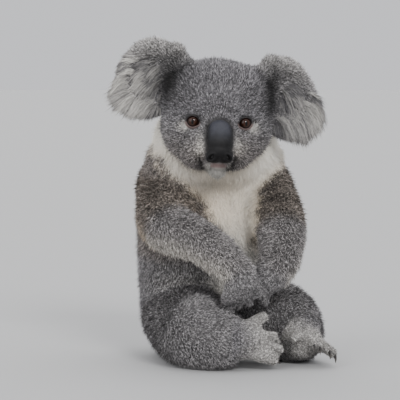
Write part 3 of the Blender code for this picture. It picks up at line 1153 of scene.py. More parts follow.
@dataclass
class Skin:
    """One closed skin over all the flesh, with the lids and the mouth worked into it."""

    head: HeadFrame
    voxel: float = 2.5
    swell: float = 0.7  # closes the gaps between the solids
    floor_depth: float = 1.2  # of the skin above the floor where the animal rests
    floor_reach: float = 22.0  # the height up to which the floor is felt
    most_calm: int = 30  # how often the calmest stretch is evened, in steps
    calm_step: int = 3
    chin_drop: float = 6.5  # how far the chin hangs under the jaw's flesh
    groove: float = 4.4  # depth between fingers and between toes
    piece: bpy.types.Object | None = None
    labels: Array | None = None

    def gather(self) -> tuple[bpy.types.Object, BVHTree, Array]:
        """Joins merged copies of the flesh with the pinnas and fillings for sockets and nose.

        Returns:
            The joined shells, a search tree over them, and each of its faces' label.
        """
        parts = [(copy_of(node, f"{node}_skin"), LABELS[node]) for node in (*FLESH, "nose")]
        parts += [(ear.build(self.head), LABELS[f"ear_{side}"]) for side, ear in EARS.items()]
        for side, _ in SIDES:
            low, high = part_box(f"eye_{side}")
            filling = ball(((high - low).x / 2,) * 3, Matrix.Translation((low + high) / 2), 24)
            parts.append((filling, LABELS["eyes"]))
        corners, faces, face_labels = [], [], []
        for part, label in parts:
            start = len(corners)
            corners.extend(vertex.co.copy() for vertex in part.data.vertices)
            for polygon in part.data.polygons:
                faces.append([start + number for number in polygon.vertices])
                face_labels.append(label)
        tree = BVHTree.FromPolygons(corners, faces)
        return joined("skin", [part for part, _ in parts]), tree, np.array(face_labels)

    def label_points(self, tree: BVHTree, face_labels: Array) -> None:
        """Finds for each point of the skin the node that it came from.

        Args:
            tree: a search tree over the shells.
            face_labels: the label of each of its faces.
        """
        nearest = [tree.find_nearest(vertex.co)[2] for vertex in self.piece.data.vertices]
        self.labels = face_labels[nearest]

    def field_of(self, name: str) -> Array:
        """One of the lie's numbers for each point.

        Args:
            name: the number's name in the lie.

        Returns:
            One value for each point, by its label.
        """
        return np.array([float(getattr(lie_of(node), name)) for node in LABELS])[self.labels]

    def build(self) -> None:
        """Makes the skin, evens it and lets it down by the coat's depth."""
        whole, tree, face_labels = self.gather()
        apply_modifier(whole, "DISPLACE", strength=self.swell * MM, mid_level=0.0)
        apply_modifier(whole, "REMESH", mode="VOXEL", voxel_size=self.voxel * MM)
        self.piece = named(keep_largest(whole), "skin")
        self.label_points(tree, face_labels)
        mesh = self.piece.data
        edges = edges_of(mesh)
        calm = relaxed(self.field_of("calm"), edges, 6)
        points = points_of(mesh)
        for step in range(0, self.most_calm, self.calm_step):
            points = relaxed(points, edges, self.calm_step, np.where(calm > step, 0.5, 0.0))
        set_points(mesh, points)
        depth = relaxed(self.field_of("depth"), edges, 12)
        muzzle = spot(self.head.local(points), (0, -62, -22), (42, 46, 40)) * lies_on(self.labels, "head")
        depth = depth * (1 - 0.55 * relaxed(muzzle, edges, 3)) + self.swell
        off_floor = smoothstep(0.0, self.floor_reach, points[:, 2])
        depth = self.floor_depth * (1 - off_floor) + depth * off_floor
        points -= normals_of(mesh) * depth[:, None]
        points = relaxed(points, edges, 2, 0.4)
        points[:, 2] = np.maximum(points[:, 2], self.floor_depth)
        set_points(mesh, points)
        LOG.info("skin: %d points", len(points))

    def refine(self, centre: Array, radius: float) -> None:
        """Halves the skin's faces near a place.

        Args:
            centre: the place in millimetres.
            radius: how far it reaches, in millimetres.
        """
        near = np.linalg.norm(points_of(self.piece.data) - centre, axis=1) < radius
        with editing(self.piece, "DESELECT"):
            pass
        for polygon in self.piece.data.polygons:
            polygon.select = all(near[number] for number in polygon.vertices)
        with editing(self.piece, None):
            bpy.ops.mesh.subdivide(number_cuts=1, smoothness=0.0, quadcorner="INNERVERT")

    def relabel(self, places: Array, labels: Array) -> None:
        """Carries labels over to the skin's points.

        Args:
            places: where the points were before, in millimetres.
            labels: the label of each.
        """
        tree = KDTree(len(places))
        for number, point in enumerate(places):
            tree.insert(point, number)
        tree.balance()
        self.labels = labels[[tree.find(point)[1] for point in points_of(self.piece.data)]]

    def open_eye(self, eye: EyeShape) -> None:
        """Draws the skin over one eyeball as two lids with a rounded rim round the opening.

        Args:
            eye: the eye under them.
        """
        mesh = self.piece.data
        points = points_of(mesh)
        local = eye.local(points, self.head)
        across, forward, up = local[:, 0] * eye.side, -local[:, 1], local[:, 2]
        reach = np.hypot(across, up)
        wide, tall = eye.opening
        inner_corner = bell(np.arctan2(up, -across) + 0.35, 0.35)
        angle = np.arctan2(up / tall, across / wide)
        rim = 1.0 / np.sqrt((np.cos(angle) / wide) ** 2 + (np.sin(angle) / tall) ** 2)
        ratio = reach / (rim * (1.0 + 0.16 * inner_corner))
        near = (forward > 0) & (ratio < 3.0)
        shell = eye.ball_radius + eye.lid
        lid_height = np.sqrt(np.maximum(shell**2 - np.minimum(reach, shell * 0.93) ** 2, 0.0))
        brow = 0.9 * bell(up - tall * 1.15, 2.2) * smoothstep(-12, 0, up)
        lid_height = lid_height + brow * (reach < shell)
        deep = np.sqrt(np.maximum(eye.ball_radius**2 - reach**2, 0.0)) - 1.2
        blend = smoothstep(1.12, 2.15, ratio)
        height = lid_height * (1 - blend) + forward * blend
        rounding = smoothstep(0.93, 1.16, ratio)
        height = np.where(ratio < 1.16, deep + (height - deep) * np.sqrt(rounding), height)
        local[near, 1] = -height[near]
        place = eye.matrix(self.head)
        points[near] = local[near] @ turn_of(place).T + np.array(place.to_translation()) / MM
        set_points(mesh, points)

    def part_digits(self) -> None:
        """Presses a groove between neighbouring fingers and toes."""
        mesh = self.piece.data
        points, normals = points_of(mesh), normals_of(mesh)
        share = digit_grooves(points, normals, self.labels)
        set_points(mesh, points - normals * (self.groove * share)[:, None])

    def shape_mouth(self) -> None:
        """Presses the mouth's line and the folds at its corners into the skin, and lets the chin hang."""
        mesh = self.piece.data
        points = points_of(mesh)
        local = self.head.local(points)
        press = np.zeros(len(points))
        for route, width, deep in MOUTH_LINES:
            press = np.maximum(press, deep * near_route(local[:, [0, 2]], route, width))
        points -= normals_of(mesh) * (press * (local[:, 1] < -40))[:, None]
        chin = spot(local, (1.0, -70, -61), (15, 26, 9)) * smoothstep(-54.5, -60, local[:, 2])
        points += self.head.world_vector(np.array([[0.0, 0.0, -1.0]])) * (self.chin_drop * chin)[:, None]
        set_points(mesh, points)


def digit_grooves(points: Array, normals: Array, labels: Array) -> Array:
    """How near each point of a hand or foot is to a groove between two digits.

    Args:
        points: the skin's points in millimetres.
        normals: their normals.
        labels: the node that each came from.

    Returns:
        Shares from 0 to 1.
    """
    share = np.zeros(len(points))
    for limb, side in ((limb, side) for limb in ("hand", "foot") for side, _ in SIDES):
        mask = np.flatnonzero(labels == LABELS[f"{limb}_{side}"])
        palm = place_of(f"{limb}_{side}")
        claws = [place_of(node) for node in claw_nodes(limb, side)]
        for first, second in zip(claws[:-1], claws[1:]):
            between = (first + second) / 2
            back = unit(palm - between)
            out = unit(np.cross(back, second - first))
            steps = (points[mask] - between) @ back
            gap = points[mask] - between - np.clip(steps, 0, 26)[:, None] * back
            gap -= out * (gap @ out)[:, None]
            near = bell(np.linalg.norm(gap, axis=1), 2.1) * (1 - 0.7 * smoothstep(6, 26, steps))
            grown_together = limb == "foot" and first is claws[0]  # a koala's second and third toe
            near *= 0.4 if grown_together else 1.0
            share[mask] = np.maximum(share[mask], near * np.abs(normals[mask] @ out))
    return share


# The mouth's line and the two folds beside the chin, as x and z in the head's frame, with width and depth.
MOUTH_LINES = (
    (((-10.0, -56.4), (-4.0, -57.2), (6.0, -57.2), (11.0, -56.4)), 1.0, 1.5),
    (((-19.5, -43.5), (-17.0, -51.0), (-13.8, -59.0), (-8.5, -66.5)), 1.9, 2.4),
    (((17.5, -43.5), (16.0, -50.5), (14.0, -59.0), (11.5, -66.0)), 1.9, 2.4),
)


# ------------------------ markings


# The white bib's outline on the front of neck and chest, as x and z from under the head's middle.
BIB = (
    (-75.0, -16.0), (-69.0, -30.0), (-57.0, -54.0), (-24.0, -87.0), (16.0, -134.0), (33.0, -142.0),
    (46.0, -134.0), (49.0, -86.0), (72.0, -58.0), (66.0, -16.0), (48.0, 4.0), (-58.0, 4.0),
)

# The faint parting down the middle of the bib, as its outline is given.
BIB_PARTING = ((17.0, -84.0), (19.0, -104.0), (24.0, -121.0), (29.0, -129.0))

# Creases of the coat across the left upper arm, drawn as lines of painted shade, as x and z from under the
# head's middle.
ARM_CREASES = (
    ((50.0, -98.5), (62.0, -95.5), (76.0, -95.0)),
    ((48.0, -110.0), (60.0, -107.5), (74.0, -106.5)),
)

# Pale blots beside the nose: x, z, half width, half height in the head's frame, and share.
FACE_BLAZES = (
    (-18.4, -32.0, 3.6, 11.0, 0.37),
    (-24.0, -35.0, 9.0, 9.0, 0.09),
    (19.0, -30.0, 3.6, 9.0, 0.40),
    (25.0, -33.0, 9.0, 8.0, 0.09),
)

# The crease from over an eye down its outer side, drawn dark as its painted shade, as steps outward and up
# from the eye's middle.
LID_CREASE = ((-5.5, 5.2), (0.0, 7.4), (4.5, 6.4), (8.6, 3.6), (12.9, -1.6), (14.8, -6.5))


# Where the fur of the face is short: round blots in the head's frame, with their half size.
SHORT_FUR = (((0, -70, -26), 34), ((30, -48, -6), 19), ((-30, -48, -6), 19), ((0, -62, -48), 15))


@dataclass
class Ground:
    """The skin's points with what the markings ask of each."""

    head: HeadFrame
    points: Array
    normals: Array
    labels: Array
    edges: Array

    def __post_init__(self) -> None:
        """Works out where the points lie, which look forward, and how ragged a marking's edge is there."""
        self.local = self.head.local(self.points)
        self.beside = self.points - np.array(self.head.centre()) / MM
        self.ragged = 1.6 * waves(self.points, 7.0, 11) + 1.3 * waves(self.points, 3.0, 12)
        self.front = smoothstep(-0.60, -0.25, -self.normals[:, 1])
        self.between = smoothstep(0.0, 0.7, -self.normals[:, 1]) * smoothstep(-28, -8, self.points[:, 0])
        self.trunk = self.on("neck", "chest", "belly")

    def on(self, *words: str) -> Array:
        """Which points come from nodes whose names start with one of some words."""
        return lies_on(self.labels, *words)

    def flat(self, rough: float) -> Array:
        """The points' x and z from the head's middle, shifted by a share of the edges' raggedness."""
        return self.beside[:, [0, 2]] + rough * self.ragged[:, None]


@dataclass
class Markings:
    """The coat's pattern, as shares from 0 to 1 at each point of the skin."""

    head: HeadFrame
    eyes: dict

    def paint(self, skin: Ground) -> dict[str, Array]:
        """Works out every marking.

        Args:
            skin: the skin's points.

        Returns:
            Shares named pale, dark, warm, bare and lid.
        """
        bib, chin = self.bib(skin), self.chin(skin)
        patches = sum(self.eye_patch(eye, skin.points) for eye in self.eyes.values())
        pale = self.pale(skin, bib, chin, patches)
        dark = self.dark(skin, chin, patches)
        warm = self.warm(skin, bib, pale)
        bare, lid = self.lip(skin), np.zeros(len(pale))
        for eye in self.eyes.values():
            around, line = self.eye_lines(eye, skin.points)
            bare, lid = np.maximum(bare, around), np.maximum(lid, line)
            pale, dark = pale * (1 - 0.9 * line), np.maximum(dark, 0.9 * line)
        shares = {"pale": pale, "dark": dark, "warm": warm}
        shares = {name: relaxed(np.clip(share, 0, 1), skin.edges, 2) for name, share in shares.items()}
        shares["warm"] = relaxed(shares["warm"], skin.edges, 30)
        shares["bare"] = np.clip(bare, 0, 1)
        shares["lid"] = np.clip(lid, 0, 1)
        return shares

    def bib(self, skin: Ground) -> Array:
        """The white bib on the front of neck, chest and upper arms."""
        covered = relaxed(skin.front * (skin.trunk | skin.on("upper_arm")), skin.edges, 8)
        return inside_outline(skin.flat(1.0), np.array(BIB), 8.0) * covered

    def chin(self, skin: Ground) -> Array:
        """The pale chin under the lip.

        Args:
            skin: the skin's points.

        Returns:
            One share for each point.
        """
        x, y, z = skin.local.T
        low = skin.on("lower_jaw", "head") * smoothstep(-47, -53, z) * (y < -38)
        return low * smoothstep(14.5, 11.5, np.abs(x - 0.8))

    def lip(self, skin: Ground) -> Array:
        """The bare lip over the mouth's line."""
        x, y, z = skin.local.T
        return np.exp(-(((z + 52.4) / 3.0) ** 4)) * smoothstep(11.5, 8.5, np.abs(x - 1.2)) * (y < -45)

    def pale(self, skin: Ground, bib: Array, chin: Array, patches: Array) -> Array:
        """How white the coat is.

        Args:
            skin: the skin's points.
            bib: the bib's share at each.
            chin: the chin's share.
            patches: the share of the patches beside the eyes.

        Returns:
            One share for each point.
        """
        head, (x, y, z) = skin.on("head"), skin.local.T
        throat = 0.8 * head * smoothstep(-66, -72, z) * smoothstep(34, 18, np.abs(x))
        throat *= smoothstep(-60, -50, y)
        pale = bib + np.maximum(0.78 * chin, throat)
        for middle_x, middle_z, wide, tall, share in FACE_BLAZES:
            pale += share * spot(skin.local, (middle_x, -60, middle_z), (wide, 26, tall)) * head
        pale += 0.68 * patches
        limbs = skin.on("upper_arm", "forearm", "thigh", "shank")
        pale += 0.055 * limbs + 0.03 * skin.trunk + 0.03 * head * smoothstep(5, -15, z)
        pale += 0.52 * skin.trunk * skin.between + 0.27 * self.toes_share(skin) + 0.05 * skin.on("hand")
        flank = spot(skin.points, (-45, -40, 92), (45, 70, 26)) * smoothstep(0.0, 0.6, -skin.normals[:, 1])
        pale += 0.16 * flank * (skin.trunk | skin.on("rump"))
        pale += 0.30 * smoothstep(-0.25, 0.75, -skin.normals[:, 2]) * skin.on("forearm", "upper_arm")
        for side, ear in EARS.items():
            height = ear.local(skin.points, self.head)[:, 2]
            pale += skin.on(f"ear_{side}") * (0.07 + 0.10 * smoothstep(10, 30, height))
        return pale

    def dark(self, skin: Ground, chin: Array, patches: Array) -> Array:
        """How black the coat is, with painted shade in the ears' hollows, on the chin and under it, in the
        folds by the mouth, between the digits and in the arm's creases.

        Args:
            skin: the skin's points.
            chin: the chin's share at each.
            patches: the share of the patches beside the eyes.

        Returns:
            One share for each point.
        """
        local, arm = skin.local, skin.on("upper_arm_left")
        # The chin's dark share is painted shade, which greys the pale chin.
        dark = 0.13 * skin.on("head") * smoothstep(-8, 12, local[:, 2]) + 0.58 * chin + 0.34 * patches
        # Darker fur in each ear's hollow and on the head beside it, with the hollow's painted shade.
        for ear in EARS.values():
            (x, z), (wide, tall) = ear.hollow_dark_and_shade
            hollow = spot(ear.local(skin.points, self.head), (x, -8, z), (wide, 30, tall))
            dark += hollow * skin.on("ear", "head")
        # Darker fur and painted shade in the folds beside the mouth and chin.
        folds = [near_route(local[:, [0, 2]], route, 1.6 * width) for route, width, _ in MOUTH_LINES[1:]]
        dark += 0.9 * np.maximum(*folds) * (local[:, 1] < -30)
        # A painted shadow under the chin, across the top of the bib.
        dark += 0.6 * spot(local, (0, -40, -73), (25, 60, 8)) * skin.on("neck", "head", "chest")
        # Painted shade in the grooves between the digits.
        dark += 0.85 * digit_grooves(skin.points, skin.normals, skin.labels)
        # Painted shade in the coat's creases across the left upper arm.
        for route in ARM_CREASES:
            dark += 0.55 * near_route(skin.flat(0.4), route, 2.2) * arm * skin.front
        dark += 0.15 * arm * smoothstep(-135, -92, skin.beside[:, 2])
        return dark + 0.24 * near_route(skin.flat(0.5), BIB_PARTING, 1.6) * skin.trunk * skin.front

    def warm(self, skin: Ground, bib: Array, pale: Array) -> Array:
        """How brown the coat is.

        Args:
            skin: the skin's points.
            bib: the bib's share at each.
            pale: how white each is.

        Returns:
            One share for each point.
        """
        chest, arms = skin.on("neck", "chest"), skin.on("upper_arm")
        warm = (0.75 * arms + 0.6 * chest * (1 - skin.between)) * (1 - bib) + 0.15 * skin.on("forearm")
        warm += (chest | arms) * spot(skin.beside, (10, -60, -95), (50, 90, 46))
        low_face = smoothstep(-10, -45, skin.local[:, 2]) * skin.on("head")
        return warm + 0.4 * low_face * smoothstep(0.4, 0.1, pale)

    def eye_patch(self, eye: EyeShape, points: Array) -> Array:
        """The pale patch of short fur at the lower outer side of one eye, as a share at each point."""
        return spot(eye.local(points, self.head) * (eye.side, 1, 1), (8.0, -5.0, -5.4), (6.0, 12.0, 5.4))

    def toes_share(self, skin: Ground) -> Array:
        """How near each point of a foot is to its toes.

        Args:
            skin: the skin's points.

        Returns:
            One share for each point.
        """
        share = np.zeros(len(skin.points))
        for node in (node for side, _ in SIDES for node in claw_nodes("foot", side)):
            gap = np.linalg.norm(skin.points - place_of(node), axis=1)
            share = np.maximum(share, smoothstep(62.0, 22.0, gap))
        return share * skin.on("foot")

    def eye_lines(self, eye: EyeShape, points: Array) -> tuple[Array, Array]:
        """The pink lower lid, and the dark rim and the painted shade of the crease, of one eye.

        Args:
            eye: the eye.
            points: the skin's points in millimetres.

        Returns:
            Two shares for each point.
        """
        local = eye.local(points, self.head)
        across, up = local[:, 0] * eye.side, local[:, 2]
        wide, tall = eye.opening
        ratio = np.hypot(across / wide, up / tall)
        front = local[:, 1] < 0
        upper = smoothstep(-0.35, 0.25, up / tall)
        rim = smoothstep(1.36, 1.16, ratio) * (0.30 + 0.70 * upper)
        # The crease is drawn dark as its painted shade.
        crease = near_route(np.column_stack([across, up]), LID_CREASE, 1.15)
        crease = 0.9 * crease * smoothstep(-8.0, -3.0, up)
        pink = smoothstep(1.55, 1.30, ratio) * (1 - upper)
        return pink * front, np.maximum(rim, crease) * front


# ------------------------ coat


@dataclass
class Growth:
    """What the coat is grown from: the skin cut into triangles, with all that its points carry."""

    points: Array
    normals: Array
    flow: Array
    triangles: Array
    regions: Array
    lie: dict[str, Array]
    shares: dict[str, Array]
    maps: Array  # the map's corners of each triangle

    def areas(self) -> Array:
        """Each triangle's area in square millimetres."""
        a, b, c = (self.points[self.triangles[:, corner]] for corner in range(3))
        return np.linalg.norm(np.cross(b - a, c - a), axis=1) / 2


@dataclass
class Roots:
    """Where tufts start, and what they take from the skin there."""

    points: Array
    normals: Array
    flow: Array
    maps: Array
    lie: dict[str, Array]
    shares: dict[str, Array]
    rng: np.random.Generator

    def __len__(self) -> int:
        """How many tufts there are."""
        return len(self.points)

    def kept(self, mask: Array) -> "Roots":
        """Only the roots that a mask names.

        Args:
            mask: true for each root that stays.

        Returns:
            The roots that stay, with the same random draws to come.
        """
        rows = [values[mask] for values in (self.points, self.normals, self.flow, self.maps)]
        named_rows = [{name: held[name][mask] for name in held} for held in (self.lie, self.shares)]
        return Roots(*rows, *named_rows, self.rng)


def along_skin(ways: Array, normals: Array) -> Array:
    """Directions laid flat on the skin, one long."""
    return unit(ways - normals * np.sum(ways * normals, axis=1)[:, None])


def scatter(growth: Growth, chosen: Array, weights: Array, count: int, seed: int) -> Roots:
    """Spreads roots over some triangles.

    Args:
        growth: the skin.
        chosen: the numbers of the triangles to use.
        weights: how densely the coat grows on each, for one square millimetre.
        count: how many roots there are.
        seed: starts the random draws.

    Returns:
        The roots with the skin's values between the corners.
    """
    rng = np.random.default_rng(seed)
    mass = growth.areas()[chosen] * weights
    ladder = np.cumsum(mass)
    marks = (np.arange(count) + rng.random(count)) / count * ladder[-1]
    picked = chosen[np.minimum(np.searchsorted(ladder, marks), len(chosen) - 1)]
    first, second = rng.random(count), rng.random(count)
    over = first + second > 1
    first[over], second[over] = 1 - first[over], 1 - second[over]
    shares = np.column_stack([1 - first - second, first, second])
    corners = growth.triangles[picked]

    def between(values: Array) -> Array:
        """Values at the roots from those at the triangles' corners."""
        return np.einsum("ij...,ij->i...", values[corners], shares)

    return Roots(
        points=between(growth.points),
        normals=unit(between(growth.normals)),
        flow=unit(between(growth.flow)),
        maps=np.einsum("ijk,ij->ik", growth.maps[picked], shares),
        lie={name: between(values) for name, values in growth.lie.items()},
        shares={name: between(values) for name, values in growth.shares.items()},
        rng=rng,
    )


@dataclass(frozen=True)
class Tuft:
    """The form that every tuft of a coat shares: a three-sided blade, closed at its root."""

    rings: tuple = ((0.0, 1.0),)  # where its three-cornered rings sit along it, and how full each is
    yaw: float = 22.0  # how far it strays from the lie, in degrees
    tip_lean: float = 1.0  # its last stretch's lean, as a share of its first's
    droop: float = 0.0  # how strongly the last stretch hangs
    wave: float = 0.0
    vary: float = 0.26
    lean_vary: float = 0.30
    depth: float = 0.5  # of the root under the skin, in millimetres
    grain: float = 1.5  # the size of the speckles of pale and dark tips, in millimetres
    silk: float = 0.0  # how even its colour is along it

    def grow(self, roots: Roots) -> tuple[Array, Array, dict[str, Array], Array]:
        """Makes every tuft's points.

        Args:
            roots: where they start.

        Returns:
            Points, faces, the attributes of the points, and their directions for shading.
        """
        rng, count, last = roots.rng, len(roots), max(len(self.rings) - 1, 1)
        stations = [station for station, _ in self.rings] + [1.0]
        yaw = np.radians(rng.normal(0, self.yaw, count))[:, None]
        aside = np.cross(roots.normals, roots.flow)
        way = unit(roots.flow * np.cos(yaw) + aside * np.sin(yaw))
        side = unit(np.cross(roots.normals, way))
        length = roots.lie["length"] * np.clip(rng.normal(1, self.vary, count), 0.45, 1.6)
        lean = np.radians(roots.lie["lean"] * np.clip(rng.normal(1, self.lean_vary, count), 0.3, 1.7))
        width = roots.lie["width"] * rng.uniform(0.75, 1.25, count)
        swing = rng.normal(0, 1.0, count) * self.wave
        middles, headings = [roots.points - roots.normals * self.depth], []
        for step, (start, end) in enumerate(zip(stations[:-1], stations[1:])):
            angle = lean * (1 + (self.tip_lean - 1) * step / last)
            heading = way * np.cos(angle)[:, None] + roots.normals * np.sin(angle)[:, None]
            heading = heading + side * (swing * (1 if step % 2 else -1))[:, None]
            heading[:, 2] -= self.droop * step / last
            headings.append(unit(heading))
            middles.append(middles[-1] + headings[-1] * (length * (end - start))[:, None])
        places, marks, shading = [], [], []
        for (station, full), middle, heading in zip(self.rings, middles, headings):
            over = unit(np.cross(heading, side))
            for across, rise in BLADE:
                offset = side * (across * full * width)[:, None] + over * (rise * full * width)[:, None]
                places.append(middle + offset)
                marks.append((station, across * 2))
                shading.append(unit(roots.normals + side * across * 0.9))
        places.append(middles[-1])
        marks.append((1.0, 0.0))
        shading.append(unit(roots.normals + headings[-1] * 0.25))
        points = np.stack(places, axis=1)
        points[:, :, 2] = np.maximum(points[:, :, 2], FLOOR_GAP)
        values = {name: np.tile(row, (count, 1)) for name, row in zip(("along", "across"), np.array(marks).T)}
        tone = 0.5 + 0.33 * waves(roots.points, self.grain, 61) + rng.uniform(-0.3, 0.3, count)
        even = {"tone": np.clip(tone, 0, 1), "silk": np.full(count, self.silk)}
        even |= {name: roots.shares[name] for name in ("pale", "dark", "warm")}
        values |= {name: np.repeat(row[:, None], len(places), axis=1) for name, row in even.items()}
        return points, self.faces(), values, np.stack(shading, axis=1)

    def faces(self) -> Array:
        """One tuft's triangles, facing out.

        Returns:
            The three corners of each.
        """
        rows, tip = [(2, 1, 0)], 3 * len(self.rings)
        for low in range(0, tip, 3):
            for corner in range(3):
                first, second = low + corner, low + (corner + 1) % 3
                if low + 3 == tip:
                    rows.append((first, second, tip))
                else:
                    rows += [(first, second, second + 3), (first, second + 3, first + 3)]
        return np.array(rows)


# The long locks inside an ear.
LOCK = Tuft(((0.0, 0.7), (0.45, 1.0)), yaw=4.0, tip_lean=-0.3, droop=0.22, wave=0.04, vary=0.12, silk=0.8)


def tuft_mesh(name: str, batches: list[tuple]) -> bpy.types.Object:
    """Builds one coat piece from batches of tufts.

    Args:
        name: the piece's name.
        batches: for each, its roots, points, faces, attributes and shading directions.

    Returns:
        The new object with its attributes, its map and its shading normals.
    """
    all_points, all_faces, all_maps, all_shading = [], [], [], []
    all_values: dict[str, list[Array]] = {}
    start = 0
    for roots, points, faces, values, shading in batches:
        count, corners = points.shape[:2]
        numbers = start + (np.arange(count) * corners)[:, None, None] + faces[None]
        all_faces.append(numbers.reshape(-1, 3))
        all_points.append(points.reshape(-1, 3))
        patch = np.stack([values["across"] * 0.5, values["along"] - 0.5], axis=2) * PATCH
        all_maps.append((roots.maps[:, None, :] + patch).reshape(-1, 2))
        all_shading.append(shading.reshape(-1, 3))
        for key, value in values.items():
            all_values.setdefault(key, []).append(value.ravel())
        start += count * corners
    points, faces = np.vstack(all_points), np.vstack(all_faces)
    mesh = bpy.data.meshes.new(name)
    mesh.vertices.add(len(points))
    mesh.vertices.foreach_set("co", (points * MM).ravel())
    mesh.loops.add(len(faces) * 3)
    mesh.loops.foreach_set("vertex_index", faces.ravel())
    mesh.polygons.add(len(faces))
    mesh.polygons.foreach_set("loop_start", np.arange(len(faces)) * 3)
    mesh.update(calc_edges=True)
    layer = mesh.uv_layers.new(name=UV_NAME)
    layer.uv.foreach_set("vector", np.vstack(all_maps)[faces.ravel()].ravel())
    for key, parts in all_values.items():
        set_attribute(mesh, key, np.concatenate(parts))
    mesh.shade_smooth()
    corners = points[faces]
    facing = unit(np.cross(corners[:, 1] - corners[:, 0], corners[:, 2] - corners[:, 0]))[:, None]
    smooth = np.vstack(all_shading)[faces]
    agree = np.sum(smooth * facing, axis=2, keepdims=True)
    share = SMOOTH_SHARE * smoothstep(-0.2, 0.5, agree)
    shown = unit(smooth * share + facing * (1 - share))
    mesh.normals_split_custom_set(shown.reshape(-1, 3).tolist())
    return placed(name, mesh)


def region_of(node: str) -> Region:
    """The coat piece that covers a node, before head and trunk are shared out.

    Args:
        node: the node's name.

    Returns:
        The piece.
    """
    side = node.rsplit("_", 1)[-1].upper()
    rows = (
        (HEAD_PARTS, "FACE"), (("rump", "belly"), "SEAT"), (("ear",), f"EAR_{side}"),
        (LIMB_PARTS[:3], f"ARM_{side}"), (LIMB_PARTS[3:], f"LEG_{side}"),
    )
    for words, region in rows:
        if node.startswith(words):
            return Region[region]
    return Region.BACK


